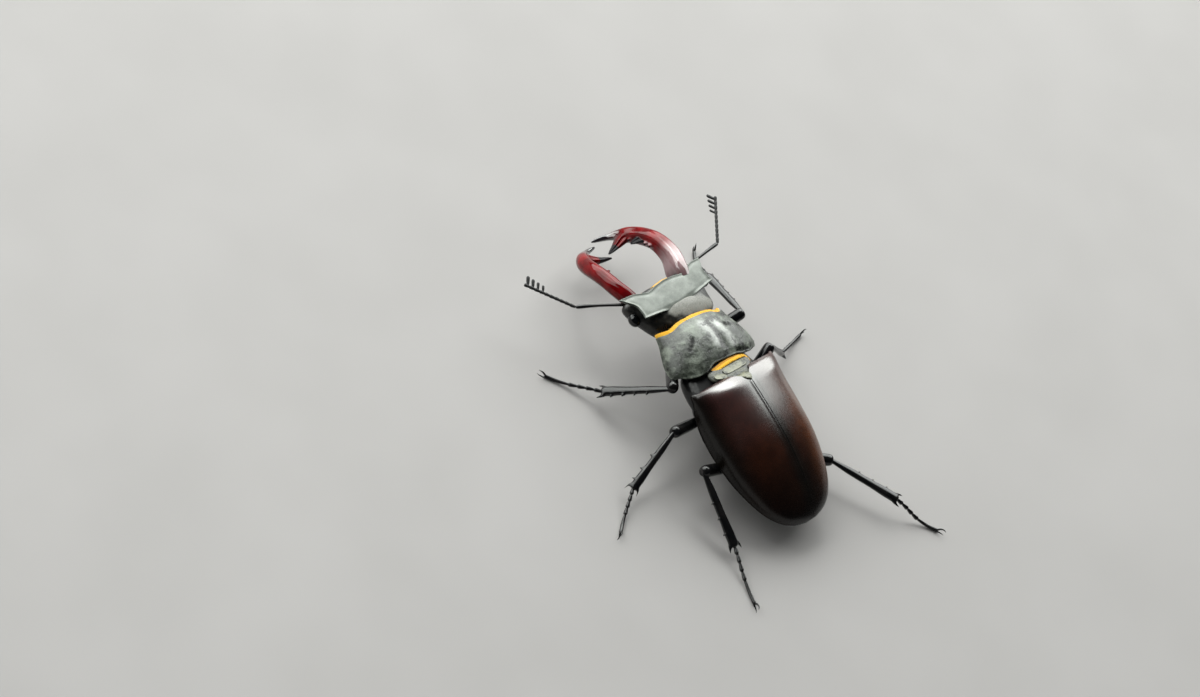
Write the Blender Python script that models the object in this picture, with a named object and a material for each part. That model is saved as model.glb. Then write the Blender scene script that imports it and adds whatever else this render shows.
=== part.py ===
"""Stag beetle, male, as a still life-size model standing on six feet.

The beetle faces -Y, its left side is +X and the floor is z = 0. Tables and sizes are in
millimetres in the beetle's own frame, where y = 0 lies at the shoulders of the wing cases and
z = 0 near their outer edges. Meshes are made in metres.
"""
import math

import bmesh
import bpy
from mathutils import Matrix, Vector

MM = 0.001
GAP = 0.3                      # clear space between neighbouring pieces

# Stance
NOSE_UP = 9.0                  # degrees that the trunk is pitched up
SHOULDER_HEIGHT = 9.2          # height of the trunk's frame over the floor
PROTHORAX_PIVOT = (0.0, -2.5, 2.0)
PROTHORAX_TURN = (0.0, 2.3, -4.4)      # degrees about x, y, z
HEAD_PIVOT = (0.0, -13.0, 1.0)
HEAD_TURN = (3.0, 3.4, 5.2)
MANDIBLE_TURN = -1.7           # both mandibles swung a little to the beetle's right

# Wing cases: each table is (y, value)
ELYTRA_LENGTH = 28.8
ELYTRA_HALF_WIDTH = ((0.0, 10.1), (0.8, 10.5), (4.0, 10.65), (9.0, 10.8), (15.0, 10.5),
                     (20.0, 9.5), (24.0, 8.05), (26.8, 6.0), (28.3, 3.6), (28.8, 1.7))
ELYTRA_TOP = ((0.0, 5.3), (0.8, 6.5), (3.0, 7.6), (7.0, 7.5), (13.4, 7.0), (19.4, 5.7),
              (24.9, 3.6), (28.8, 1.1))
ELYTRA_MARGIN = ((0.0, 3.6), (1.0, 3.2), (3.0, 1.7), (7.0, 0.3), (12.0, -0.3), (20.0, -0.5),
                 (28.8, -0.3))
ELYTRON_THICKNESS = 0.9
DOME_FULLNESS = 2.2            # 2 is an ellipse, more is squarer
SCUTELLUM_HALF_WIDTH = ((-1.9, 4.2), (-0.6, 3.6), (0.3, 2.5), (1.2, 1.5), (2.0, 0.3))
SCUTELLUM_HEIGHT = ((-1.9, 4.5), (-0.6, 5.3), (0.3, 6.3), (1.2, 7.2), (2.0, 7.65))
SCUTELLUM_THICKNESS = 0.9

# Pronotum: each table is (share of the length from front to rear, value)
PRONOTUM_HALF_WIDTH = ((0.0, 7.8), (0.15, 8.05), (0.45, 9.1), (0.75, 9.85), (0.9, 9.85),
                       (1.0, 9.6))
PRONOTUM_TOP = ((0.0, 3.2), (0.3, 4.5), (0.6, 5.1), (0.85, 5.1), (1.0, 4.7))
PRONOTUM_MARGIN = ((0.0, 0.3), (0.5, 0.5), (1.0, 1.3))
PRONOTUM_FRONT = ((0.0, -12.4), (0.5, -12.1), (0.75, -11.6), (1.0, -12.0))   # over the width
PRONOTUM_REAR = ((0.0, -3.05), (0.6, -2.8), (0.85, -3.1), (1.0, -4.1))
PRONOTUM_THICKNESS = 0.8

# Undersides: (y, half width, top, waist, bottom)
PROSTERNUM = ((-11.2, 5.6, 1.2, -0.8, -3.0), (-10.3, 7.0, 2.6, -0.6, -4.4),
              (-8.0, 7.9, 3.6, -0.4, -4.9), (-5.6, 8.3, 3.8, -0.1, -4.7),
              (-4.4, 7.6, 3.6, 0.1, -4.2), (-3.5, 5.6, 3.0, 0.2, -3.4))
METATHORAX = ((-2.2, 4.0, 2.8, 0.0, -3.4), (-1.0, 6.0, 3.5, 0.2, -4.6),
              (0.9, 8.0, 4.6, 1.2, -5.2), (3.0, 8.8, 6.2, 0.8, -5.7),
              (7.0, 9.4, 6.2, -0.1, -5.9), (12.6, 9.3, 5.8, -0.8, -5.8))
ABDOMEN = ((12.9, 9.3, 5.7, -0.8, -5.7), (16.0, 9.0, 5.2, -0.9, -5.4), (19.0, 8.4, 4.5, -1.0, -4.9),
           (22.5, 7.2, 3.3, -1.0, -4.0), (25.0, 5.7, 2.2, -1.0, -3.0),
           (27.0, 3.6, 1.1, -0.8, -1.9), (27.6, 1.8, 0.3, -0.7, -1.3))

# Head capsule: (y, crown, rim x, rim z, under-rim x, z, cheek x, z, throat x, z, bottom)
HEAD_SECTIONS = (
    (-12.0, 1.8, 4.2, 1.0, 5.2, 0.2, 5.9, -0.9, 4.5, -2.5, -3.2),
    (-14.0, 2.35, 5.6, 1.3, 6.4, 0.3, 7.0, -1.0, 5.4, -3.1, -4.0),
    (-15.8, 2.7, 6.6, 1.5, 7.0, 0.6, 7.6, -1.0, 6.0, -3.4, -4.4),
    (-16.45, 2.7, 8.1, 2.55, 7.3, 1.5, 8.1, -1.0, 6.4, -3.4, -4.5),
    (-18.2, 2.5, 7.85, 2.4, 7.5, 1.3, 8.8, -1.0, 6.8, -3.3, -4.5),
    (-19.8, 2.3, 8.3, 2.25, 8.0, 1.1, 8.9, -0.8, 6.8, -3.0, -4.2),
    (-20.55, 1.95, 8.9, 2.05, 8.5, 1.0, 8.8, -0.7, 6.6, -2.7, -3.8),
    (-20.95, 1.3, 8.4, 1.3, 8.2, 0.6, 8.0, -0.6, 6.0, -2.3, -3.2))
FRONT_BOW = {"left": -1.15, "right": -0.8}      # how far each front corner runs ahead
LEFT_CORNER = ((-20.55, 1.1), (-19.8, 0.75), (-18.2, 0.2), (-16.45, 0.0))  # extra width by y
EYE_PLACE = (8.5, -17.8, -0.5)
EYE_RADII = (1.05, 1.35, 1.15)

# Mandibles, both as for the left side: path, then (share, half width, half height)
MANDIBLE_PATH = {
    "left": ((6.75, -22.7, -0.55), (7.5, -25.3, -1.1), (7.6, -28.4, -2.5), (7.25, -31.1, -4.9),
             (5.9, -33.4, -7.6), (3.4, -34.7, -9.3), (0.35, -35.2, -10.3)),
    "right": ((5.7, -22.3, -0.5), (6.5, -25.4, -1.1), (6.55, -28.6, -2.5), (6.2, -31.3, -4.9),
              (4.9, -33.7, -7.7), (2.8, -35.2, -9.4), (0.1, -35.9, -10.4))}
MANDIBLE_GIRTH = ((0.0, 2.1, 1.7), (0.15, 1.7, 1.6), (0.35, 1.5, 1.45), (0.55, 1.45, 1.35),
                  (0.68, 1.4, 1.25), (0.78, 0.95, 0.88), (0.86, 0.58, 0.56), (1.0, 0.27, 0.27))
TEETH_SHIFT = {"left": (1.0, 0.25, 0.0), "right": (0.0, 0.0, 0.0)}
MEDIAN_TOOTH = ((5.1, -30.7, -4.4), (4.2, -31.0, -5.1), (3.4, -31.1, -5.6))
INNER_PRONG = {"left": ((3.7, -33.0, -7.5), (1.7, -32.3, -7.9), (-0.9, -31.7, -8.2)),
               "right": ((3.7, -33.0, -7.5), (2.0, -32.4, -7.9), (0.45, -31.9, -8.0))}
DENTICLES = ((4.8, -28.5, -2.5), (4.7, -29.4, -3.1), (4.4, -32.0, -6.2))

# Antennae, as run from the head: (x, y, z) of each stretch for the left and the right
SCAPE_BASE = {"left": (9.5, -21.9, -0.8), "right": (9.2, -21.6, -0.8)}
SCAPE_RUN = {"left": (7.0, -3.35, -0.2), "right": (7.1, -0.8, -0.1)}
FLAGELLUM_RUN = {"left": (6.5, -7.7, 1.1), "right": (5.8, -7.7, -0.2)}
LAMELLA_LENGTH = 1.6

# Legs: coxa place on the trunk, then lengths of femur, tibia and tarsus
HIPS = {"fore": (2.6, -9.2, -4.8), "middle": (3.8, 3.4, -5.2), "hind": (2.6, 13.8, -5.0)}
SEGMENTS = {"fore": (11.4, 13.1, 11.2), "middle": (12.4, 12.2, 9.2), "hind": (13.2, 14.2, 11.5)}
# Each leg: (femur azimuth, femur elevation, tibia azimuth, elevation, tarsus azimuth), degrees
POSES = {
    "fore_left": (40, 24, -52, -38, -53), "middle_left": (4, 25, 19, -32, 38),
    "hind_left": (-5, 25, 87, -23, 73), "fore_right": (175, 27, -111, -26, -129),
    "middle_right": (-159, 37, 180, -46, -168), "hind_right": (138, 12, 120, -4, 125)}
FEMUR_GIRTH = ((0.0, 0.45), (0.1, 0.8), (0.4, 1.15), (0.65, 1.15), (0.86, 1.08), (0.95, 0.85),
               (1.0, 0.35))
TIBIA_GIRTH = ((0.0, 0.35), (0.06, 0.45), (0.3, 0.62), (0.65, 0.76), (0.9, 0.94), (1.0, 0.7))
TIBIA_TEETH = {"fore": (0.35, 0.52, 0.68, 0.84), "middle": (0.45, 0.68, 0.86),
               "hind": (0.4, 0.6, 0.8)}
TARSUS_WAIST = 0.27
TARSUS_SWELL = 0.42
TARSUS_JOINTS = (0.0, 0.15, 0.29, 0.43, 0.58, 1.0)
CLAW_LENGTH = 1.3
SOLE_DEPTH = 0.08              # how far a foot is flattened where it meets the floor

BLACK = (0.012, 0.012, 0.014, 1.0)
SHIELD_GREY = (0.045, 0.045, 0.042, 1.0)
MAROON = (0.075, 0.014, 0.010, 1.0)
MANDIBLE_RED = (0.20, 0.008, 0.012, 1.0)


def look(name, colour, roughness):
    """A Principled material, made once and shared by name."""
    found = bpy.data.materials.get(name)
    if found:
        return found
    made = bpy.data.materials.new(name)
    made.use_nodes = True
    shader = made.node_tree.nodes["Principled BSDF"]
    shader.inputs["Base Color"].default_value = colour
    shader.inputs["Roughness"].default_value = roughness
    shader.inputs["Metallic"].default_value = 0.0
    return made


def value_at(table, x):
    """Read a short (x, value) table as one smooth curve that never overshoots."""
    xs = [row[0] for row in table]
    ys = [row[1] for row in table]
    if x <= xs[0]:
        return ys[0]
    if x >= xs[-1]:
        return ys[-1]
    steps = [xs[i + 1] - xs[i] for i in range(len(xs) - 1)]
    rises = [(ys[i + 1] - ys[i]) / steps[i] for i in range(len(steps))]
    slopes = [rises[0]]
    for before, after in zip(rises, rises[1:]):
        same_way = before * after > 0.0
        slopes.append(2.0 * before * after / (before + after) if same_way else 0.0)
    slopes.append(rises[-1])
    i = max(k for k in range(len(steps)) if xs[k] <= x)
    t = (x - xs[i]) / steps[i]
    start = (1 + 2 * t) * (1 - t) ** 2 * ys[i] + t * (1 - t) ** 2 * steps[i] * slopes[i]
    end = t * t * (3 - 2 * t) * ys[i + 1] + t * t * (t - 1) * steps[i] * slopes[i + 1]
    return start + end


def smooth_path(points, share):
    """Point at a share of the way along a smooth curve through a few points."""
    knots = [Vector(p) for p in points]
    spans = [(b - a).length for a, b in zip(knots, knots[1:])]
    marks = [sum(spans[:i]) for i in range(len(knots))]
    place = share * marks[-1]
    tables = ([(m, knot[axis]) for m, knot in zip(marks, knots)] for axis in range(3))
    return Vector([value_at(table, place) for table in tables])


def power(value, fullness):
    """Signed power that turns a circle's cosine or sine into a squarer outline's."""
    return math.copysign(abs(value) ** (2.0 / fullness), value)


def finish(name, mesh_data, material, parent):
    """Turn a bmesh in millimetres into a named object under its parent."""
    bmesh.ops.recalc_face_normals(mesh_data, faces=mesh_data.faces)
    if mesh_data.calc_volume(signed=True) < 0.0:
        bmesh.ops.reverse_faces(mesh_data, faces=mesh_data.faces)
    bmesh.ops.scale(mesh_data, vec=(MM, MM, MM), verts=mesh_data.verts)
    mesh = bpy.data.meshes.new(name)
    mesh_data.to_mesh(mesh)
    mesh_data.free()
    mesh.materials.append(material)
    mesh.shade_smooth()
    mesh.set_sharp_from_angle(angle=math.radians(40))
    made = bpy.data.objects.new(name, mesh)
    bpy.context.scene.collection.objects.link(made)
    made.parent = parent
    return made


def loft(rings):
    """Closed skin over a row of rings with equally many points."""
    bm = bmesh.new()
    rows = [[bm.verts.new(point) for point in ring] for ring in rings]
    count = len(rows[0])
    for row, following in zip(rows, rows[1:]):
        for i in range(count):
            j = (i + 1) % count
            bm.faces.new((row[i], row[j], following[j], following[i]))
    bm.faces.new(rows[0])
    bm.faces.new(list(reversed(rows[-1])))
    return bm


def rim_of(sheet):
    """The grid's outside points in order, once round."""
    return (sheet[0] + [row[-1] for row in sheet[1:]] + sheet[-1][-2::-1]
            + [row[0] for row in sheet[-2:0:-1]])


def plate(outer, inner):
    """Closed shell between two grids of points, joined round their edges."""
    bm = bmesh.new()
    top = [[bm.verts.new(point) for point in row] for row in outer]
    under = [[bm.verts.new(point) for point in row] for row in inner]
    for sheet in (top, under):
        for row, following in zip(sheet, sheet[1:]):
            for i in range(len(row) - 1):
                bm.faces.new((row[i], row[i + 1], following[i + 1], following[i]))
    top_rim = rim_of(top)
    under_rim = rim_of(under)
    for i in range(len(top_rim)):
        j = (i + 1) % len(top_rim)
        bm.faces.new((top_rim[i], top_rim[j], under_rim[j], under_rim[i]))
    return bm


def cross_section(centre, across, up, half_width, half_height, sides):
    """Ring of points round a centre, in the plane of two directions."""
    ring = []
    for i in range(sides):
        turn = 2.0 * math.pi * (i + 0.5) / sides
        ring.append(centre + across * math.cos(turn) * half_width
                    + up * math.sin(turn) * half_height)
    return ring


def limb(points, girths, sides=8, swell=0.0):
    """Closed tube through points with a (half width, half height) at each of them."""
    rings = []
    for i, point in enumerate(points):
        ahead = (points[min(i + 1, len(points) - 1)] - points[max(i - 1, 0)]).normalized()
        across = ahead.cross(Vector((0, 0, 1))).normalized()
        up = across.cross(ahead)
        half_width, half_height = girths[i]
        rings.append(cross_section(point, across, up, half_width + swell,
                                   half_height + swell, sides))
    return loft(rings)


def grow(bm, near, steps):
    """Draw the face nearest a point out through steps of (centre, size ratio)."""
    face = min(bm.faces, key=lambda f: (f.calc_center_median() - Vector(near)).length)
    for centre, ratio in steps:
        face = bmesh.ops.extrude_discrete_faces(bm, faces=[face])["faces"][0]
        middle = face.calc_center_median()
        for vert in face.verts:
            vert.co = Vector(centre) + (vert.co - middle) * ratio


def mirrored(bm, side):
    """Mirror a left-hand shape for the right-hand side."""
    if side == "right":
        bmesh.ops.scale(bm, vec=(-1, 1, 1), verts=bm.verts)
    return bm


def trunk_ring(y, half_width, top, waist, bottom, sides=20):
    """Rounded section of the trunk, fuller above its waist than below it."""
    ring = []
    for i in range(sides):
        turn = 2.0 * math.pi * (i + 0.5) / sides
        height = top - waist if math.sin(turn) > 0.0 else waist - bottom
        x = half_width * power(math.cos(turn), DOME_FULLNESS)
        ring.append(Vector((x, y, waist + height * power(math.sin(turn), DOME_FULLNESS))))
    return ring


def elytron(side, parent):
    """One wing case: a domed shell from the scutellum and suture to the outer edge."""
    rows, columns = 14, 9

    def sheet(inset):
        grid = []
        for i in range(rows):
            share = i / (rows - 1)
            y = (share - 0.04 * math.sin(2.0 * math.pi * share)) * ELYTRA_LENGTH
            half_width = value_at(ELYTRA_HALF_WIDTH, y) - inset
            margin = value_at(ELYTRA_MARGIN, y)
            top = value_at(ELYTRA_TOP, y) - inset
            seam = value_at(SCUTELLUM_HALF_WIDTH, y) + GAP if y < 2.0 else GAP / 2.0
            seam_turn = math.acos((seam / half_width) ** (DOME_FULLNESS / 2.0))
            row = []
            for j in range(columns):
                turn = seam_turn * j / (columns - 1)
                x = half_width * power(math.cos(turn), DOME_FULLNESS)
                z = margin + (top - margin) * power(math.sin(turn), DOME_FULLNESS)
                row.append(Vector((x, min(y, ELYTRA_LENGTH - inset), z)))
            grid.append(row)
        return grid

    bm = plate(sheet(0.0), sheet(ELYTRON_THICKNESS))
    return finish("elytron_" + side, mirrored(bm, side), look("wing_case", MAROON, 0.3), parent)


def scutellum(parent):
    """Sloping plate of the middle thorax, ending in the small scutellum."""
    stations = [row[0] for row in SCUTELLUM_HALF_WIDTH]
    rings = []
    for y in stations:
        half_width = value_at(SCUTELLUM_HALF_WIDTH, y)
        z = value_at(SCUTELLUM_HEIGHT, y)
        sag = 0.10 * half_width
        under = z - SCUTELLUM_THICKNESS
        rings.append([Vector(p) for p in ((half_width, y, z - sag), (0.0, y, z),
                                          (-half_width, y, z - sag), (-half_width, y, under - sag),
                                          (0.0, y, under), (half_width, y, under - sag))])
    return finish("scutellum", loft(rings), look("shield", SHIELD_GREY, 0.4), parent)


def pronotum(parent):
    """Broad arched shield over the front of the thorax."""
    rows, columns = 9, 15

    def sheet(inset):
        grid = []
        for i in range(rows):
            share = i / (rows - 1)
            half_width = value_at(PRONOTUM_HALF_WIDTH, share) - inset
            margin = value_at(PRONOTUM_MARGIN, share)
            top = value_at(PRONOTUM_TOP, share) - inset
            row = []
            for j in range(columns):
                across = math.sin(math.pi * (j / (columns - 1) - 0.5))
                front = value_at(PRONOTUM_FRONT, abs(across))
                rear = value_at(PRONOTUM_REAR, abs(across))
                arch = (1.0 - abs(across) ** 2.4) ** (1.0 / 1.9)
                row.append(Vector((half_width * across, front + share * (rear - front),
                                   margin + (top - margin) * arch)))
            grid.append(row)
        return grid

    bm = plate(sheet(0.0), sheet(PRONOTUM_THICKNESS))
    return finish("pronotum", bm, look("shield", SHIELD_GREY, 0.4), parent)


def underside(name, table, parent):
    """Rounded solid of the lower trunk from a table of sections."""
    rings = [trunk_ring(*row) for row in table]
    return finish(name, loft(rings), look("black_shell", BLACK, 0.3), parent)


def head(parent):
    """Head capsule: a flat, rimmed plateau over black cheeks, with a neck behind."""
    rings = []
    for y, crown, rx, rz, ux, uz, cx, cz, tx, tz, bottom in HEAD_SECTIONS:
        half = [(0.42 * rx, crown), (0.8 * rx, 0.5 * (crown + rz) - 0.1), (rx, rz), (ux, uz),
                (cx, cz), (tx, tz), (0.5 * tx, bottom)]
        outlines = {}
        for side in ("left", "right"):
            bow = FRONT_BOW[side] if y < -20.0 else 0.0
            wider = value_at(LEFT_CORNER, y) if side == "left" else 0.0
            outlines[side] = [Vector((x + wider * min(1.0, x / rx) ** 2 * (1.0 if z > cz else 0.3),
                                      y + bow * min(1.2, x / rx) ** 2, z)) for x, z in half]
        left = outlines["left"]
        right = [Vector((-p.x, p.y, p.z)) for p in reversed(outlines["right"])]
        top = Vector((0.0, y, crown))
        rings.append([top] + left + [Vector((0.0, y, bottom - 0.1))] + right)
    return finish("head", loft(rings), look("shield", SHIELD_GREY, 0.4), parent)


def eye(side, parent, swell=0.0):
    """Small bead of an eye, low on the cheek."""
    bm = bmesh.new()
    bmesh.ops.create_uvsphere(bm, u_segments=10, v_segments=7, radius=1.0)
    radii = [radius + swell for radius in EYE_RADII]
    bmesh.ops.scale(bm, vec=radii, verts=bm.verts)
    bmesh.ops.translate(bm, vec=EYE_PLACE, verts=bm.verts)
    name = "eye_" + side if not swell else "socket_" + side
    return finish(name, mirrored(bm, side), look("eye", BLACK, 0.08), parent)


def mandible(side, parent):
    """Antler-like mandible with its median tooth and forked tip."""
    count = 17
    points = [smooth_path(MANDIBLE_PATH[side], i / (count - 1)) for i in range(count)]
    widths = [(row[0], row[1]) for row in MANDIBLE_GIRTH]
    heights = [(row[0], row[2]) for row in MANDIBLE_GIRTH]
    shares = [i / (count - 1) for i in range(count)]
    girths = [(value_at(widths, s), value_at(heights, s)) for s in shares]
    bm = limb(points, girths, sides=10)
    shift = Vector(TEETH_SHIFT[side])
    for path, sizes in ((MEDIAN_TOOTH, (0.9, 0.75, 0.45)), (INNER_PRONG[side], (0.9, 0.7, 0.5))):
        places = [Vector(place) + shift for place in path]
        grow(bm, places[0], list(zip(places, sizes)))
    for tip in DENTICLES:
        place = Vector(tip) + shift
        grow(bm, place, [(place - Vector((0.7, 0, 0)), 0.45)])
    swing = Matrix.Rotation(math.radians(MANDIBLE_TURN), 3, "Z")
    mirrored(bm, side)
    root = MANDIBLE_PATH[side][0]
    hinge = Vector((root[0] * (1 if side == "left" else -1), root[1], 0))
    bmesh.ops.rotate(bm, cent=hinge, matrix=swing, verts=bm.verts)
    return finish("mandible_" + side, bm, look("mandible", MANDIBLE_RED, 0.2), parent)


def labrum(parent):
    """Small lip between the mandibles."""
    rings = []
    for y, half_width, z in ((-21.7, 2.3, -0.6), (-21.9, 2.0, -0.8), (-22.1, 1.5, -1.2),
                             (-22.2, 0.7, -1.6)):
        rings.append(cross_section(Vector((0, y, z - 0.5)), Vector((1, 0, 0)),
                                   Vector((0, 0, 1)), half_width, 0.55, 8))
    return finish("labrum", loft(rings), look("shield", SHIELD_GREY, 0.4), parent)


def palp(side, parent):
    """Jointed feeler under the mouth."""
    route = ((2.3, -21.65, -3.5), (2.6, -21.95, -4.2), (2.8, -21.95, -5.1), (2.7, -21.5, -5.9))
    shares = (0.0, 0.12, 0.3, 0.34, 0.6, 0.64, 0.88, 1.0)
    radii = (0.3, 0.4, 0.4, 0.28, 0.4, 0.28, 0.42, 0.28)
    points = [smooth_path(route, share) for share in shares]
    bm = limb(points, [(r, r) for r in radii], sides=6)
    return finish("palp_" + side, mirrored(bm, side), look("black_shell", BLACK, 0.3), parent)


def antenna(side, parent):
    """Elbowed antenna: a long first joint, then small joints and a comb of four plates."""
    base = Vector(SCAPE_BASE[side])
    elbow = base + Vector(SCAPE_RUN[side])
    shares = (0.0, 0.08, 0.5, 0.9, 1.0)
    points = [base.lerp(elbow, share) for share in shares]
    points[2].z += 0.25
    radii = (0.3, 0.38, 0.32, 0.45, 0.32)
    scape = limb(points, [(r, r) for r in radii], sides=7)
    black = look("black_shell", BLACK, 0.3)
    finish("antenna_scape_" + side, mirrored(scape, side), black, parent)
    tip = elbow + Vector(FLAGELLUM_RUN[side])
    ahead = (tip - elbow).normalized()
    start = elbow + ahead * (GAP + 0.35)
    joints = 10
    marks = []
    for i in range(joints):
        marks += [((i + 0.05) / joints, 0.26), ((i + 0.7) / joints, 0.36 if i < 6 else 0.33)]
    points = [start.lerp(tip, share) for share, _ in marks]
    bm = limb(points, [(r, r) for _, r in marks], sides=6)
    inward = Vector((-0.76, -0.64, 0.1))
    for i in range(6, joints):
        root = start.lerp(tip, (i + 0.4) / joints) + inward * 0.3
        reach = LAMELLA_LENGTH * (0.75 + 0.09 * (i - 6))
        lean = ahead * 0.22
        grow(bm, root, [(root + inward * 0.35 * reach, 1.25),
                        (root + inward * 0.8 * reach + lean, 1.1),
                        (root + inward * reach + lean, 0.7)])
    return finish("antenna_club_" + side, mirrored(bm, side), black, parent)


def heading(azimuth, elevation):
    """Unit vector from an azimuth and an elevation in degrees."""
    turn, rise = math.radians(azimuth), math.radians(elevation)
    return Vector((math.cos(rise) * math.cos(turn), math.cos(rise) * math.sin(turn),
                   math.sin(rise)))


def leg_joints(pair, side):
    """Hip, knee, ankle and toe of a leg in the floor's frame, with the toe on the floor."""
    x, y, z = HIPS[pair]
    lean = Matrix.Rotation(math.radians(-NOSE_UP), 3, "X")
    hip = lean @ Vector((x if side == "left" else -x, y, z)) + Vector((0, 0, SHOULDER_HEIGHT))
    femur, tibia, tarsus = SEGMENTS[pair]
    femur_turn, femur_rise, tibia_turn, tibia_rise, tarsus_turn = POSES[pair + "_" + side]
    knee = hip + femur * heading(femur_turn, femur_rise)
    ankle = knee + tibia * heading(tibia_turn, tibia_rise)
    drop = math.degrees(math.asin(ankle.z / tarsus))
    return hip, knee, ankle, ankle + tarsus * heading(tarsus_turn, -drop)


def femur(pair, side, parent, swell=0.0):
    """Swollen thigh between the hip and the knee; swelled a little it serves as a cutter."""
    hip, knee, _, _ = leg_joints(pair, side)
    start = hip.lerp(knee, 0.045)
    points = [start.lerp(knee, share) for share, _ in FEMUR_GIRTH]
    bm = limb(points, [(0.85 * r, r) for _, r in FEMUR_GIRTH], sides=8, swell=swell)
    name = ("femur_" if not swell else "groove_") + pair + "_" + side
    return finish(name, bm, look("black_shell", BLACK, 0.3), parent)


def coxa(pair, side, parent, swell=0.0):
    """Short hip joint that lies across the underside."""
    x, y, z = HIPS[pair]
    outer = Vector((x - 0.45, y, z))
    inner = Vector((0.75, y, z - 0.1))
    shares = (0.0, 0.2, 0.6, 0.9, 1.0)
    radii = (0.5, 1.0, 1.1, 0.85, 0.5)
    points = [inner.lerp(outer, share) for share in shares]
    bm = limb(points, [(r, 0.9 * r) for r in radii], sides=8, swell=swell)
    name = ("coxa_" if not swell else "hollow_") + pair + "_" + side
    return finish(name, mirrored(bm, side), look("black_shell", BLACK, 0.3), parent)


def tibia(pair, side, parent):
    """Shin with outer teeth and two spurs at its end."""
    _, knee, ankle, _ = leg_joints(pair, side)
    ahead = (ankle - knee).normalized()
    start = knee + ahead * 0.75
    points = [start.lerp(ankle, share) for share, _ in TIBIA_GIRTH]
    bm = limb(points, [(r, r) for _, r in TIBIA_GIRTH], sides=8)
    outward = ahead.cross(Vector((0, 0, 1))).normalized()
    outward = outward if (pair == "fore") == (side == "right") else -outward
    for share in TIBIA_TEETH[pair]:
        root = start.lerp(ankle, share) + outward * value_at(TIBIA_GIRTH, share)
        grow(bm, root, [(root + outward * 0.45 + ahead * 0.15, 0.35)])
    for way in (outward, -outward):
        root = start.lerp(ankle, 0.95) + way * 0.7
        grow(bm, root, [(root + way * 0.35 + ahead * 0.5, 0.6),
                        (root + way * 0.5 + ahead * 1.1, 0.5)])
    return finish("tibia_" + pair + "_" + side, bm, look("black_shell", BLACK, 0.3), parent)


def tarsus(pair, side, parent):
    """Foot of five small joints and two claws, flattened where it meets the floor."""
    _, _, ankle, toe = leg_joints(pair, side)
    rest = TARSUS_SWELL - SOLE_DEPTH
    flat = Vector((toe.x - ankle.x, toe.y - ankle.y, 0.0))
    ahead = flat.normalized()
    height = ((0.0, ankle.z), (0.35, rest + 0.45 * (ankle.z - rest)), (0.7, rest + 0.12), (1.0, rest))

    def place(share):
        spot = ankle + flat * (0.05 + 0.95 * share)
        return Vector((spot.x, spot.y, value_at(height, 0.05 + 0.95 * share)))

    marks = []
    for start, end in zip(TARSUS_JOINTS, TARSUS_JOINTS[1:]):
        marks += [(start + 0.012, TARSUS_WAIST), (start + 0.75 * (end - start), TARSUS_SWELL - 0.04),
                  (end - 0.025, TARSUS_SWELL)]
    bm = limb([place(share) for share, _ in marks], [(r, r) for _, r in marks], sides=8)
    sideways = ahead.cross(Vector((0, 0, 1)))
    for way in (sideways, -sideways):
        root = place(0.93) + way * 0.36
        tip = place(1.0)
        grow(bm, root, [(tip + way * 0.65 + ahead * 0.1, 0.75),
                        (tip + way * 0.85 + ahead * 0.75 * CLAW_LENGTH, 0.6),
                        (tip + way * 0.75 + ahead * CLAW_LENGTH - Vector((0, 0, 0.1)), 0.5)])
    whole = bm.verts[:] + bm.edges[:] + bm.faces[:]
    cut = bmesh.ops.bisect_plane(bm, geom=whole, plane_co=(0, 0, 0), plane_no=(0, 0, -1),
                                 clear_outer=True)
    rim = [item for item in cut["geom_cut"] if isinstance(item, bmesh.types.BMEdge)]
    bmesh.ops.edgeloop_fill(bm, edges=rim)
    return finish("tarsus_" + pair + "_" + side, bm, look("black_shell", BLACK, 0.3), parent)


def empty(name, place, turn, parent):
    """Invisible frame that sub-parts hang on."""
    made = bpy.data.objects.new(name, None)
    bpy.context.scene.collection.objects.link(made)
    made.location = [MM * v for v in place]
    made.rotation_euler = [math.radians(v) for v in turn]
    made.parent = parent
    return made


def about(name, pivot, turn, parent):
    """Frame that turns its pieces about a pivot and otherwise keeps its parent's places."""
    hinge = empty(name + "_hinge", pivot, turn, parent)
    return empty(name, [-v for v in pivot], (0, 0, 0), hinge)


def cut_away(piece, cutter):
    """Take a cutter's shape out of a piece; the cutter itself is not part of the model."""
    cutter.hide_render = True
    cutter.display_type = "WIRE"
    hollow = piece.modifiers.new(cutter.name, "BOOLEAN")
    hollow.operation = "DIFFERENCE"
    hollow.object = cutter


def centre_on_floor(stand):
    """Shift the whole model so that the middle of its box lies over the origin."""
    bpy.context.view_layer.update()
    pieces = [o for o in bpy.data.objects if o.type == "MESH" and not o.hide_render]
    corners = [o.matrix_world @ v.co for o in pieces for v in o.data.vertices]
    for axis in (0, 1):
        values = [corner[axis] for corner in corners]
        stand.location[axis] -= (min(values) + max(values)) / 2.0


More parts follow.
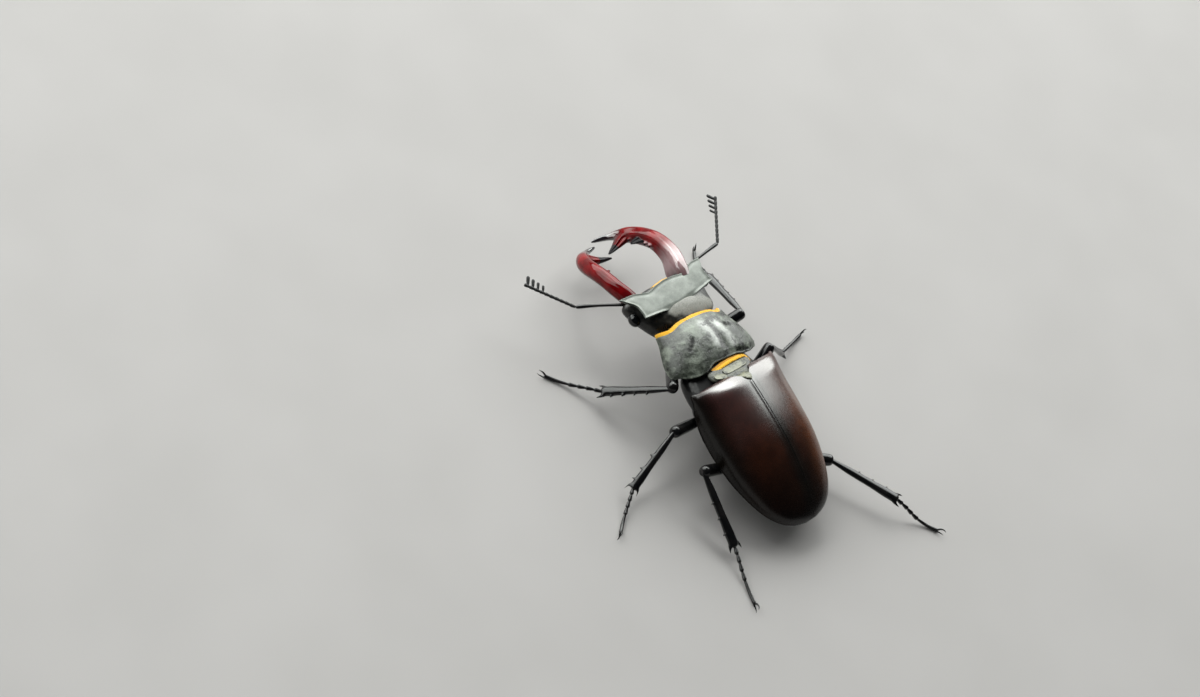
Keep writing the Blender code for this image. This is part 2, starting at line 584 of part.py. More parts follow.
def build():
    """Model the beetle from rear to front, then its legs."""
    for old in list(bpy.data.objects):
        bpy.data.objects.remove(old, do_unlink=True)
    stand = empty("stand", (0, 0, 0), (0, 0, 0), None)
    trunk = empty("trunk", (0, 0, SHOULDER_HEIGHT), (-NOSE_UP, 0, 0), stand)
    front = about("prothorax", PROTHORAX_PIVOT, PROTHORAX_TURN, trunk)
    skull = about("skull", HEAD_PIVOT, HEAD_TURN, front)

    underside("abdomen", ABDOMEN, trunk)
    chest = {"fore": underside("prosternum", PROSTERNUM, front),
             "middle": underside("metathorax", METATHORAX, trunk)}
    belly = bpy.data.objects["abdomen"]
    scutellum(trunk)
    pronotum(front)
    capsule = head(skull)
    labrum(skull)
    for side in ("left", "right"):
        elytron(side, trunk)
        eye(side, skull)
        cut_away(capsule, eye(side, skull, GAP))
        mandible(side, skull)
        palp(side, skull)
        antenna(side, skull)
        for pair in HIPS:
            coxa(pair, side, trunk)
            femur(pair, side, stand)
            tibia(pair, side, stand)
            tarsus(pair, side, stand)
            hosts = {"fore": [chest["fore"]], "middle": [chest["middle"]],
                     "hind": [chest["middle"], belly]}[pair]
            for host in hosts:
                cut_away(host, coxa(pair, side, trunk, GAP))
                cut_away(host, femur(pair, side, stand, GAP))
    centre_on_floor(stand)


build()
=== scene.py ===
"""Looks of the stag beetle: fine shells, horn finishes, golden hair, studio light and camera.

Pieces are modelled in millimetres in the beetle's own frame, as by hand, and then settled on the
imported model: +X is the beetle's left side, it faces -Y, y = 0 lies at the shoulders of the wing
cases and z = 0 near their outer edges. Legs are modelled straight along +Y and turned onto the
line between their joints.
"""
import math
import random

import bmesh
import bpy
from mathutils import Euler, Matrix, Vector


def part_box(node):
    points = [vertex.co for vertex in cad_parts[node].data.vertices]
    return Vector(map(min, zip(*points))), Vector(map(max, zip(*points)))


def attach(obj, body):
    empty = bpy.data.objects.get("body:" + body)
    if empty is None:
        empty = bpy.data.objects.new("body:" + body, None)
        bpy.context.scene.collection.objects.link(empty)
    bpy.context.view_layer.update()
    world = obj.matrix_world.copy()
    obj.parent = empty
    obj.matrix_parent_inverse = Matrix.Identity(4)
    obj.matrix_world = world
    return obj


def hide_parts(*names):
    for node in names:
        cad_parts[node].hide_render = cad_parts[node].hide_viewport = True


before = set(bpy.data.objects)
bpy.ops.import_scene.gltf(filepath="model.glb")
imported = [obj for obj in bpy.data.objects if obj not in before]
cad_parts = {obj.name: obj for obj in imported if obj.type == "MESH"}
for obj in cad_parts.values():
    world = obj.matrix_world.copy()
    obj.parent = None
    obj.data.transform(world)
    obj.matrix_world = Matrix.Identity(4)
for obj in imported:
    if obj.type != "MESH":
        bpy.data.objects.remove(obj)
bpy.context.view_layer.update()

MM = 0.001
TINY = 0.0005                  # places closer than this are one place
SIDES = ("left", "right")
PAIRS = ("fore", "middle", "hind")

# Stance, as in the solids
NOSE_UP = 9.0
SHOULDER_HEIGHT = 9.2
PROTHORAX_PIVOT = (0.0, -2.5, 2.0)
PROTHORAX_TURN = (0.0, 2.3, -4.4)
HEAD_PIVOT = (0.0, -13.0, 1.0)
HEAD_TURN = (3.0, 3.4, 5.2)
JAW_TURN = -1.7

# Wing cases: tables are (y, value)
WING_CASE_LENGTH = 28.8
WING_CASE_HALF_WIDTH = ((0.0, 10.1), (0.8, 10.5), (4.0, 10.65), (9.0, 10.8), (15.0, 10.5),
                        (20.0, 9.5), (24.0, 8.05), (26.8, 6.0), (28.3, 3.6), (28.8, 1.7),
                        (28.95, 0.9))
WING_CASE_TOP = ((0.0, 5.3), (0.3, 6.0), (0.8, 6.55), (3.0, 7.6), (7.0, 7.5), (13.4, 7.0),
                 (19.4, 5.7), (24.9, 3.6), (28.8, 1.1), (28.95, 0.6))
WING_CASE_MARGIN = ((0.0, 3.6), (1.0, 3.2), (3.0, 1.7), (7.0, 0.3), (12.0, -0.3), (20.0, -0.5),
                    (28.8, -0.3))
WING_CASE_WALL = 0.45
WING_CASE_ROWS = 52
EDGE_ROUNDING = 0.07
DOME_FULLNESS = 2.2
SEAM_GAP = 0.03                # from the middle line to each wing case
SHIELD_LENGTH_SHARES = (0.0, 0.015, 0.04, 0.08, 0.15, 0.25, 0.35, 0.45, 0.55, 0.65, 0.75, 0.84,
                        0.91, 0.95, 0.965, 0.98, 0.99, 1.0)
SHIELD_HALF_WIDTH = ((0.0, 7.8), (0.15, 8.05), (0.45, 9.1), (0.75, 9.85), (0.9, 9.85),
                     (1.0, 9.6))
SHIELD_TOP = ((0.0, 3.2), (0.3, 4.5), (0.6, 5.1), (0.85, 5.1), (1.0, 4.7))
SHIELD_MARGIN = ((0.0, 0.3), (0.5, 0.5), (1.0, 1.3))
SHIELD_FRONT, SHIELD_REAR = -12.0, -3.0
SHIELD_FRONT_EDGE = ((0.0, -12.4), (0.5, -12.1), (0.75, -11.6), (1.0, -12.0))   # over the width
SHIELD_WALL = 0.35
# Folds along the shield: (x, rear end, front end, rise, width), and its two deepest pits
SHIELD_FOLDS = ((-1.15, -5.0, -10.0, -0.22, 1.1), (0.3, -6.6, -10.2, 0.12, 1.3),
                (-2.9, -5.2, -9.4, 0.16, 1.3))
SHIELD_PITS = ((4.1, -8.2, 4.5), (-4.5, -8.9, 4.2))

# Marks on the shield, all painted light: (place, radius, tone). The pale patch at the front is a
# painted highlight, the darker patches are painted shade, and marks under a millimetre are ragged
# pits darkened as painted shade. Then its streaks: (start, end, width, tone); the pale ones are
# painted highlights along the ridges and the hind border, the dark ones painted shade in the
# furrow.
SHIELD_PAINTED_LIGHT_MARKS = (
    ((1.6, -10.3, 4.0), 4.2, 0.19), ((2.4, -5.0, 4.9), 3.4, 0.055),
    ((-5.8, -7.2, 4.0), 3.0, 0.035), ((7.8, -6.0, 3.0), 2.6, 0.05),
    ((5.6, -7.2, 4.1), 1.9, 0.035), ((3.8, -8.6, 4.4), 0.8, 0.0005),
    ((4.2, -8.1, 4.5), 0.8, 0.0005), ((4.8, -7.5, 4.4), 0.8, 0.001),
    ((5.4, -7.0, 4.2), 0.7, 0.002), ((-4.4, -8.9, 4.2), 0.9, 0.001),
    ((-5.1, -8.6, 4.0), 0.7, 0.002), ((-4.9, -6.8, 4.3), 1.8, 0.02))
SHIELD_PAINTED_LIGHT_STREAKS = (
    ((0.0, -10.6, 4.2), (-0.3, -6.4, 5.0), 1.6, 0.50),
    ((-2.3, -9.9, 4.3), (-3.3, -5.2, 4.9), 1.4, 0.55),
    ((-1.5, -9.6, 4.4), (-0.8, -5.2, 5.0), 0.75, 0.05),
    ((-0.9, -5.9, 5.0), (-0.7, -5.0, 5.0), 0.5, 0.012),
    ((1.4, -3.9, 4.8), (-1.5, -3.7, 4.8), 0.5, 0.22))
# Painted sheen behind the head's plateau, a pale reflection painted as colour, and painted shade
# in it under the plateau's rim: (place, radius)
CROWN_PAINTED_SHEEN = (((-1.0, -15.2, 2.4), 4.2), ((-3.2, -14.5, 2.2), 3.6), ((-5.4, -13.8, 1.4), 2.9),
               ((1.4, -15.7, 2.5), 2.9))
CROWN_SHADE = ((-6.6, -15.3, 1.2), 2.0)

# Head capsule under the plateau: (y, half width, top, waist, bottom, x)
CAPSULE = ((-11.9, 5.2, 1.3, -0.9, -2.8, -0.6), (-12.3, 6.1, 1.75, -0.9, -3.3, -0.7),
           (-13.2, 6.9, 2.1, -0.9, -3.7, -0.6), (-14.4, 7.3, 2.45, -1.0, -4.1, -0.3),
           (-15.6, 7.5, 2.6, -1.0, -4.4, -0.1), (-16.6, 7.9, 2.5, -1.0, -4.5),
           (-18.0, 8.4, 2.25, -1.0, -4.5, 0.1), (-19.4, 8.75, 2.0, -0.9, -4.3, 0.25),
           (-20.5, 8.75, 1.75, -0.8, -3.9, 0.4), (-21.05, 8.2, 1.3, -0.7, -3.3, 0.4),
           (-21.3, 7.2, 0.8, -0.7, -2.7, 0.4))
PLATEAU_HALF_WIDTH = ((0.0, 8.2), (0.2, 8.0), (0.5, 8.0), (0.8, 8.7), (1.0, 9.0))
LEFT_CORNER = ((0.45, 0.0), (0.7, 0.3), (0.88, 0.75), (1.0, 1.1))    # extra width at the left
PLATEAU_REAR = ((0.0, -15.5), (3.4, -15.8), (5.0, -16.05), (8.2, -16.5))     # over |x|
PLATEAU_FRONT = ((0.0, -21.1), (2.0, -20.9), (4.0, -20.5), (5.5, -20.95), (7.2, -21.45),
                 (9.0, -21.4))
PLATEAU_CROWN = ((0.0, 2.66), (0.3, 2.55), (0.65, 2.3), (0.9, 2.05), (1.0, 1.85))
PLATEAU_WALL, PLATEAU_ROUNDING = 0.4, 0.05
EYE_PLACE = (8.45, -17.8, -0.5)
EYE_RADII = (1.0, 1.3, 1.1)

# Jaws, both as for the left side: the line each bends along, (share, half width, half height)
JAW_LINE = {
    "left": ((6.35, -20.5, -0.35), (6.75, -22.1, -0.5), (7.5, -25.2, -1.1), (7.65, -28.3, -2.5),
             (7.2, -31.0, -4.9), (5.65, -33.3, -7.6), (3.3, -34.6, -9.2), (0.15, -35.1, -10.3)),
    "right": ((4.85, -19.9, -0.7), (5.3, -22.1, -0.5), (6.35, -25.3, -1.1), (6.55, -28.6, -2.5),
              (6.2, -31.3, -4.9), (4.9, -33.7, -7.7), (2.8, -35.1, -9.4), (-0.2, -35.95, -10.4))}
JAW_GIRTH = {
    "left": ((0.0, 1.7, 1.4), (0.1, 1.8, 1.5), (0.25, 1.65, 1.5), (0.45, 1.6, 1.45),
             (0.62, 1.6, 1.42), (0.72, 1.42, 1.28), (0.79, 1.0, 0.95), (0.85, 0.66, 0.64),
             (0.93, 0.46, 0.44), (0.98, 0.27, 0.27), (1.0, 0.14, 0.14)),
    "right": ((0.0, 2.9, 1.4), (0.1, 2.7, 1.5), (0.22, 2.1, 1.5), (0.4, 1.65, 1.42),
              (0.58, 1.5, 1.36), (0.70, 1.38, 1.22), (0.78, 0.95, 0.9), (0.85, 0.62, 0.6),
              (0.93, 0.45, 0.43), (0.98, 0.27, 0.27), (1.0, 0.14, 0.14))}
JAW_FULLNESS = {"left": 1.8, "right": 3.6}     # the left one is worn to more of a ridge
JAW_HINGE = {"left": (6.75, -22.1, 0.0), "right": (-5.7, -22.3, 0.0)}
TEETH_SHIFT = {"left": (1.0, 0.25, 0.0), "right": (0.0, 0.0, 0.0)}
MEDIAN_TOOTH = ((5.0, -30.7, -4.4), (4.3, -30.95, -5.0), (3.6, -31.1, -5.5))
INNER_PRONG = {"left": ((3.7, -33.0, -7.5), (1.6, -32.3, -7.9), (-1.2, -31.6, -8.2)),
               "right": ((3.7, -33.1, -7.5), (1.9, -32.5, -7.9), (0.2, -31.9, -8.2))}
JAW_ROWS = 34
DENTICLES = ((4.8, -28.5, -2.5), (4.7, -29.4, -3.1), (4.4, -32.0, -6.2))

# Slope of the plate in front of the scutellum: (y, z)
SLOPE = ((-2.3, 4.35), (2.2, 6.3))
BREAST_GRAIN = 0.17            # size of the lumps an underside plate is eased over

# Antennae
SCAPE_BASE = {"left": (9.5, -21.9, -0.8), "right": (9.2, -21.6, -0.8)}
SCAPE_RUN = {"left": (7.0, -3.35, -0.2), "right": (7.1, -0.8, -0.1)}
FLAGELLUM_RUN = {"left": (6.5, -7.7, 1.1), "right": (5.8, -7.7, -0.2)}
LAMELLA_LENGTH = 1.55
ANTENNA_JOINTS = 10
FIRST_COMB_JOINT = 6

# Legs, as in the solids
HIPS = {"fore": (2.6, -9.2, -4.8), "middle": (3.8, 3.4, -5.2), "hind": (2.6, 13.8, -5.0)}
SEGMENTS = {"fore": (11.4, 13.1, 11.2), "middle": (12.4, 12.2, 9.2), "hind": (13.2, 14.2, 11.5)}
POSES = {
    "fore_left": (40, 24, -52, -38, -53), "middle_left": (4, 25, 19, -32, 38),
    "hind_left": (-5, 25, 87, -23, 73), "fore_right": (175, 27, -111, -26, -129),
    "middle_right": (-159, 37, 180, -46, -168), "hind_right": (138, 12, 120, -4, 125)}
FOOT_JOINTS = (0.0, 0.15, 0.29, 0.43, 0.58, 1.0)
FOOT_REST = 0.34               # height of the foot's middle line where it meets the floor
SHIN_GIRTH = ((0.0, 0.42), (0.05, 0.5), (0.15, 0.6), (0.3, 0.76), (0.6, 0.82), (0.85, 1.0),
              (0.965, 0.98))
SHIN_TEETH = {"fore": (0.35, 0.52, 0.68, 0.84), "middle": (0.45, 0.68, 0.86),
              "hind": (0.4, 0.6, 0.8)}

# Camera: lens and sensor, where it stands and looks in millimetres, and its roll in degrees
CAMERA_LENS, CAMERA_SENSOR = 85.0, 36.0
CAMERA_PLACE, CAMERA_TARGET = (316.516, 93.283, 388.571), (14.758, -20.361, 8.0)
CAMERA_ROLL = -35.13

# Lamps: their colour, and their distance in metres
LAMP_COLOUR, LAMP_DISTANCE = (0.965, 1.0, 0.965), 0.9


# ---- Frames ----
def about(pivot, turn, parent):
    """Frame that turns about a pivot and otherwise keeps its parent's places."""
    turned = Euler([math.radians(angle) for angle in turn]).to_matrix().to_4x4()
    return parent @ Matrix.Translation(pivot) @ turned @ Matrix.Translation(-Vector(pivot))


def stand_place():
    """Where the beetle's frame stands, worked out from the wing cases' boxes."""
    left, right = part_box("elytron_left"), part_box("elytron_right")
    middle = (left[1].x + right[0].x) / (2.0 * MM)
    shoulder_margin = WING_CASE_MARGIN[0][1]
    front = left[0].y / MM - shoulder_margin * math.sin(math.radians(NOSE_UP))
    return Vector((middle, front, 0.0))


STAND = Matrix.Scale(MM, 4) @ Matrix.Translation(stand_place())
TRUNK = STAND @ Matrix.Translation((0, 0, SHOULDER_HEIGHT)) @ Matrix.Rotation(
    math.radians(-NOSE_UP), 4, "X")
PROTHORAX = about(PROTHORAX_PIVOT, PROTHORAX_TURN, TRUNK)
SKULL = about(HEAD_PIVOT, HEAD_TURN, PROTHORAX)


# ---- Reading tables ----
def value_at(table, x):
    """Read a short (x, value) table as one smooth curve that never overshoots."""
    xs = [row[0] for row in table]
    ys = [row[1] for row in table]
    if x <= xs[0]:
        return ys[0]
    if x >= xs[-1]:
        return ys[-1]
    steps = [xs[i + 1] - xs[i] for i in range(len(xs) - 1)]
    rises = [(ys[i + 1] - ys[i]) / steps[i] for i in range(len(steps))]
    slopes = [rises[0]]
    for before, after in zip(rises, rises[1:]):
        same_way = before * after > 0.0
        slopes.append(2.0 * before * after / (before + after) if same_way else 0.0)
    slopes.append(rises[-1])
    i = max(k for k in range(len(steps)) if xs[k] <= x)
    t = (x - xs[i]) / steps[i]
    start = (1 + 2 * t) * (1 - t) ** 2 * ys[i] + t * (1 - t) ** 2 * steps[i] * slopes[i]
    end = t * t * (3 - 2 * t) * ys[i + 1] + t * t * (t - 1) * steps[i] * slopes[i + 1]
    return start + end


def smooth_path(points, share):
    """Point at a share of the way along a smooth curve through a few points."""
    knots = [Vector(p) for p in points]
    spans = [(b - a).length for a, b in zip(knots, knots[1:])]
    marks = [sum(spans[:i]) for i in range(len(knots))]
    tables = ([(m, knot[axis]) for m, knot in zip(marks, knots)] for axis in range(3))
    return Vector([value_at(table, share * marks[-1]) for table in tables])


def eased(index, count):
    """Share of the way of one of so many rows that lie closer together at both ends."""
    return 0.5 * (1.0 - math.cos(math.pi * index / (count - 1)))


def column(table, index):
    """Two-column table from a wider one."""
    return [(row[0], row[index]) for row in table]


# ---- Modelling as by hand ----
def pick(test):
    """In edit mode, select the vertices whose place passes a test, and nothing else."""
    mesh = bmesh.from_edit_mesh(bpy.context.object.data)
    for face in mesh.faces:
        face.select = False
    for edge in mesh.edges:
        edge.select = False
    for vert in mesh.verts:
        vert.select = bool(test(vert.co))
    mesh.select_flush(True)
    bmesh.update_edit_mesh(bpy.context.object.data)


def pick_faces(test):
    """In edit mode, select the faces whose middle and normal pass a test, and nothing else."""
    mesh = bmesh.from_edit_mesh(bpy.context.object.data)
    for part in (*mesh.verts, *mesh.edges, *mesh.faces):
        part.select = False
    for face in mesh.faces:
        if test(face.calc_center_median(), face.normal):
            face.select_set(True)
    bmesh.update_edit_mesh(bpy.context.object.data)


def pick_all():
    """In edit mode, select everything."""
    bpy.ops.mesh.select_all(action="SELECT")


def resize(value, centre=(0, 0, 0)):
    """In edit mode, resize what is selected about a centre."""
    bpy.ops.transform.resize(value=value, center_override=centre)


def extrude(move):
    """In edit mode, draw a copy of what is selected out by a move."""
    bpy.ops.mesh.extrude_region_move(TRANSFORM_OT_translate={"value": move})


def edit():
    """Go into edit mode on the active piece, working on vertices."""
    bpy.ops.object.mode_set(mode="EDIT")
    bpy.ops.mesh.select_mode(type="VERT")


def done():
    """Turn every face outwards and leave edit mode."""
    pick_all()
    bpy.ops.mesh.normals_make_consistent(inside=False)
    bpy.ops.object.mode_set(mode="OBJECT")


def work_on(piece):
    """Make a piece the only one selected."""
    bpy.ops.object.select_all(action="DESELECT")
    piece.select_set(True)
    bpy.context.view_layer.objects.active = piece


def add_object(name, data):
    """Add an object with this data to the scene."""
    made = bpy.data.objects.new(name, data)
    bpy.context.scene.collection.objects.link(made)
    return made


def remove(*pieces):
    """Take objects that are no longer needed out of the scene."""
    for piece in pieces:
        bpy.data.objects.remove(piece, do_unlink=True)


def new_piece(name, shape, **settings):
    """Add a primitive as the only selected object."""
    bpy.ops.object.select_all(action="DESELECT")
    getattr(bpy.ops.mesh, "primitive_" + shape + "_add")(**settings)
    piece = bpy.context.object
    piece.name = name
    return piece


def apply_modifier(piece, kind, **settings):
    """Give a piece a modifier with these settings and apply it."""
    work_on(piece)
    modifier = piece.modifiers.new(kind.lower(), kind)
    for name, value in settings.items():
        setattr(modifier, name, value)
    bpy.ops.object.modifier_apply(modifier=modifier.name)


def smooth(piece, levels=2):
    """Round a piece off with a subdivision surface."""
    apply_modifier(piece, "SUBSURF", levels=levels, render_levels=levels)


def turn_of(place, centre=Vector((0, 0, 0))):
    """Angle of a place round a centre, in degrees from +X towards +Z."""
    return math.degrees(math.atan2(place.z - centre.z, place.x - centre.x))


def shape_ring(outline):
    """Draw each vertex of the unit ring in or out to the outline's reach at its angle."""
    mesh = bmesh.from_edit_mesh(bpy.context.object.data)
    for place in [vert.co.copy() for vert in mesh.verts]:
        reach = outline(turn_of(place)) / math.hypot(place.x, place.z)
        pick(lambda spot: (spot - place).length < TINY * 0.1)
        resize((reach, 1.0, reach))


def fit_ring(old, new):
    """Resize the newest ring from one station to the next: width, upper half, lower half."""
    y, half_width, top, waist, bottom, x = new
    centre = (x, y, waist)
    resize((half_width / old[1], 1.0, 1.0), centre)
    upper = (top - waist) / (old[2] - old[3])
    lower = (waist - bottom) / (old[3] - old[4])
    for way, ratio in ((1.0, upper), (-1.0, lower)):
        pick(lambda spot: abs(spot.y - y) < TINY and way * (spot.z - waist) > 0.0)
        resize((1.0, 1.0, ratio), centre)
    pick(lambda spot: abs(spot.y - y) < TINY)


def grow(name, stations, sides=24, outline=None, arc=None, finer=()):
    """Grow a shell along Y by carrying a ring from station to station.

    A station is (y, half width, top, waist, bottom) and can end in its x. An arc (low, high)
    keeps only those degrees of the ring; finer lists arcs whose edges are cut finer.
    """
    stations = [tuple(row) if len(row) == 6 else (*row, 0.0) for row in stations]
    piece = new_piece(name, "circle", vertices=sides, fill_type="NOTHING" if arc else "NGON",
                      rotation=(math.pi / 2.0, 0.0, 0.0))
    bpy.ops.object.transform_apply(location=True, rotation=True, scale=True)
    edit()
    if arc:
        pick(lambda spot: not arc[0] - 0.1 <= turn_of(spot) <= arc[1] + 0.1)
        bpy.ops.mesh.delete(type="VERT")
    for low, high in finer:
        pick(lambda spot: low - 0.1 <= turn_of(spot) <= high + 0.1)
        bpy.ops.mesh.subdivide(number_cuts=3)
    if outline:
        shape_ring(outline)
    first = stations[0]
    pick_all()
    bpy.ops.transform.translate(value=(first[5], first[0], first[3]))
    fit_ring((first[0], 1.0, 1.0, 0.0, -1.0, 0.0), first)
    for old, new in zip(stations, stations[1:]):
        extrude((new[5] - old[5], new[0] - old[0], new[3] - old[3]))
        fit_ring(old, new)
    if arc:
        bpy.ops.object.mode_set(mode="OBJECT")
    else:
        done()
    return piece


def grow_limb(name, girths, length, sides=16, outline=None):
    """Closed straight limb along +Y from (share, half width, half height[, x, z]) rows."""
    rows = []
    for row in girths:
        share, wide, high = row[:3]
        x, z = row[3:5] if len(row) > 3 else (0.0, 0.0)
        rows.append((share * length, wide, z + high, z, z - high, x))
    return grow(name, rows, sides=sides, outline=outline)


def draw_out(near, reach, steps, dark=False):
    """In edit mode, draw the faces round a place out through steps of (centre, size ratio)."""
    near = Vector(near)
    pick_faces(lambda middle, normal: (middle - near).length < reach)
    for centre, ratio in steps:
        mesh = bmesh.from_edit_mesh(bpy.context.object.data)
        spots = [vert.co.copy() for vert in mesh.verts if vert.select]
        if not spots:
            return
        extrude(Vector(centre) - sum(spots, Vector()) / len(spots))
        resize((ratio, ratio, ratio), centre)
        if dark:
            mesh = bmesh.from_edit_mesh(bpy.context.object.data)
            layer = mesh.verts.layers.float["inner"]
            for vert in mesh.verts:
                if vert.select:
                    vert[layer] = 1.0
            bmesh.update_edit_mesh(bpy.context.object.data)


def copy_of(piece, name):
    """Copy of a piece with its own mesh."""
    twin = piece.copy()
    twin.data = piece.data.copy()
    twin.name = name
    bpy.context.scene.collection.objects.link(twin)
    return twin


def join(name, pieces):
    """Join pieces into one mesh."""
    bpy.ops.object.select_all(action="DESELECT")
    for piece in pieces:
        piece.select_set(True)
    bpy.context.view_layer.objects.active = pieces[0]
    if len(pieces) > 1:
        bpy.ops.object.join()
    pieces[0].name = name
    return pieces[0]


def move_to(piece, place):
    """Turn and move a piece by a frame, and apply it so that its object stays at the origin."""
    work_on(piece)
    piece.matrix_world = place
    bpy.ops.object.transform_apply(location=True, rotation=True, scale=True)


def along(start, end, up=(0, 0, 1)):
    """Frame at a start, with +Y towards an end and +Z as near to a direction as it can be."""
    ahead = (Vector(end) - Vector(start)).normalized()
    across = ahead.cross(Vector(up)).normalized()
    rise = across.cross(ahead)
    turned = Matrix((across, ahead, rise)).transposed().to_4x4()
    return Matrix.Translation(start) @ turned


def mirror(piece):
    """Mirror a finished left piece for the right side and turn its faces out again."""
    work_on(piece)
    piece.scale.x = -1.0
    bpy.ops.object.transform_apply(location=True, rotation=True, scale=True)
    edit()
    done()


def settle(piece, place, material, nodes=(), angle=45.0, side="left"):
    """Put a finished piece in its place on the beetle and hand it over to the frame.

    A piece of a pair is modelled for the left side, and mirrored here for the right.
    """
    if side == "right":
        mirror(piece)
    move_to(piece, place)
    bpy.ops.object.shade_smooth_by_angle(angle=math.radians(angle))
    piece.data.name = piece.name
    piece.data.materials.clear()
    piece.data.materials.append(material)
    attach(piece, "root")
    if nodes:
        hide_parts(*nodes)


def solid_wall(piece, thickness, edge):
    """Give a sheet its wall and round its edges a little."""
    apply_modifier(piece, "SOLIDIFY", thickness=thickness, offset=-1.0)
    apply_modifier(piece, "BEVEL", width=edge, segments=2, limit_method="ANGLE",
                   angle_limit=math.radians(50.0), use_clamp_overlap=True)


def pull(test, move, size):
    """In edit mode, pull the picked vertices and, fading with distance, all near them."""
    pick(test)
    bpy.ops.transform.translate(value=move, use_proportional_edit=True,
                                proportional_edit_falloff="SMOOTH", proportional_size=size)


def bend(piece, line, count=48):
    """Bend a straight piece that lies along +Y onto a line, keeping its top up."""
    points = [smooth_path(line, i / (count - 1)) for i in range(count)]
    path = bpy.data.curves.new("bending_line", "CURVE")
    path.dimensions = "3D"
    path.twist_mode = "Z_UP"
    spline = path.splines.new("POLY")
    spline.points.add(count - 1)
    for knot, point in zip(spline.points, points):
        knot.co = (*point, 1.0)
    guide = add_object("bending_line", path)
    apply_modifier(piece, "CURVE", object=guide, deform_axis="POS_Y")
    remove(guide)


# ---- Finishes ----
class Finish:
    """A horn or hair finish built up from procedural layers."""

    def __init__(self, name, colour, roughness, **sockets):
        self.material = bpy.data.materials.new(name)
        self.material.use_nodes = True
        self.tree = self.material.node_tree
        self.shader = self.tree.nodes["Principled BSDF"]
        self.shader.inputs["Base Color"].default_value = (*colour, 1.0)
        self.shader.inputs["Roughness"].default_value = roughness
        for socket, value in sockets.items():
            self.shader.inputs[socket.replace("_", " ")].default_value = value
        self.place = self.tree.nodes.new("ShaderNodeTexCoord").outputs["Object"]
        self.height = None

    def node(self, kind, inputs=(), **settings):
        """Add a node, set it, and feed its sockets with values or other nodes' outputs."""
        made = self.tree.nodes.new(kind)
        for name, value in settings.items():
            setattr(made, name, value)
        for key, value in inputs:
            if isinstance(value, bpy.types.NodeSocket):
                self.tree.links.new(value, made.inputs[key])
            else:
                made.inputs[key].default_value = value
        return made

    def written(self, name):
        """Value written on the vertices of a piece under a name."""
        return self.node("ShaderNodeAttribute", attribute_name=name).outputs["Fac"]

    def seen_in(self, part):
        """Coordinates in millimetres in the frame of a part of the body."""
        back = part.inverted()
        return self.node("ShaderNodeMapping", [
            ("Vector", self.place), ("Location", back.to_translation()),
            ("Rotation", back.to_euler()), ("Scale", back.to_scale())]).outputs["Vector"]

    def spot(self, place, centre, radius, soft=1.0):
        """Round patch that is one at its centre and fades to nothing at its radius."""
        away = self.node("ShaderNodeVectorMath", [(0, place), (1, centre)], operation="DISTANCE")
        share = self.maths("DIVIDE", away.outputs["Value"], radius)
        return self.ramp(share, [(0.0, 1.0), (1.0 - soft, 1.0), (1.0, 0.0)])

    def streak(self, place, start, end, width):
        """Soft streak along a line, one on the line and nothing a width away from it."""
        reach = Vector(end) - Vector(start)
        offset = self.node("ShaderNodeVectorMath", [(0, place), (1, start)], operation="SUBTRACT")
        dot = self.node("ShaderNodeVectorMath", [(0, offset.outputs[0]), (1, reach)],
                        operation="DOT_PRODUCT").outputs["Value"]
        share = self.maths("MINIMUM", self.maths("MAXIMUM", self.maths(
            "DIVIDE", dot, reach.length_squared), 0.0), 1.0)
        foot = self.node("ShaderNodeVectorMath", [(0, reach), ("Scale", share)], operation="SCALE")
        away = self.node("ShaderNodeVectorMath", [(0, offset.outputs[0]), (1, foot.outputs[0])],
                         operation="DISTANCE").outputs["Value"]
        return self.ramp(self.maths("DIVIDE", away, width), [(0.0, 1.0), (1.0, 0.0)])

    def noise(self, size, detail=4.0, roughness=0.55, place=None):
        """Soft noise with blotches of about a size in millimetres."""
        inputs = [("Vector", place or self.place), ("Detail", detail), ("Roughness", roughness),
                  ("Scale", (1.0 if place else 1.0 / MM) / size)]
        return self.node("ShaderNodeTexNoise", inputs).outputs["Fac"]

    def pits(self, size, place=None):
        """Distance to the nearest of many scattered points."""
        inputs = [("Vector", place or self.place), ("Scale", (1.0 if place else 1.0 / MM) / size)]
        return self.node("ShaderNodeTexVoronoi", inputs).outputs["Distance"]

    def ramp(self, source, stops):
        """Smooth colour or value ramp with stops (place, colour or grey)."""
        made = self.node("ShaderNodeValToRGB", [("Fac", source)])
        band = made.color_ramp
        band.interpolation = "EASE"
        while len(band.elements) < len(stops):
            band.elements.new(0.5)
        for element, (spot, value) in zip(band.elements, stops):
            element.position = spot
            colour = value if isinstance(value, tuple) else (value, value, value)
            element.color = (*colour, 1.0)
        return made.outputs["Color"]

    def mix(self, share, first, second, way="MIX"):
        """Blend of two colours, as sockets or tuples, by a share."""
        made = self.tree.nodes.new("ShaderNodeMix")
        made.data_type = "RGBA"
        made.blend_type = way
        for key, value in ((0, share), (6, first), (7, second)):
            if isinstance(value, bpy.types.NodeSocket):
                self.tree.links.new(value, made.inputs[key])
            elif key == 0:
                made.inputs[key].default_value = value
            else:
                made.inputs[key].default_value = (*value, 1.0)
        return made.outputs[2]

    def darken(self, colour, *shades):
        """Colour darkened by one shade after the other."""
        for shade in shades:
            colour = self.mix(1.0, colour, shade, "MULTIPLY")
        return colour

    def maths(self, way, first, second=0.0):
        """One step of arithmetic."""
        return self.node("ShaderNodeMath", [(0, first), (1, second)], operation=way).outputs[0]

    def axis(self, place, name):
        """One coordinate of a place."""
        return self.node("ShaderNodeSeparateXYZ", [(0, place)]).outputs[name]

    def colour(self, source):
        self.tree.links.new(source, self.shader.inputs["Base Color"])

    def gloss(self, source):
        self.tree.links.new(source, self.shader.inputs["Coat Weight"])

    def roughness(self, source):
        self.tree.links.new(source, self.shader.inputs["Roughness"])

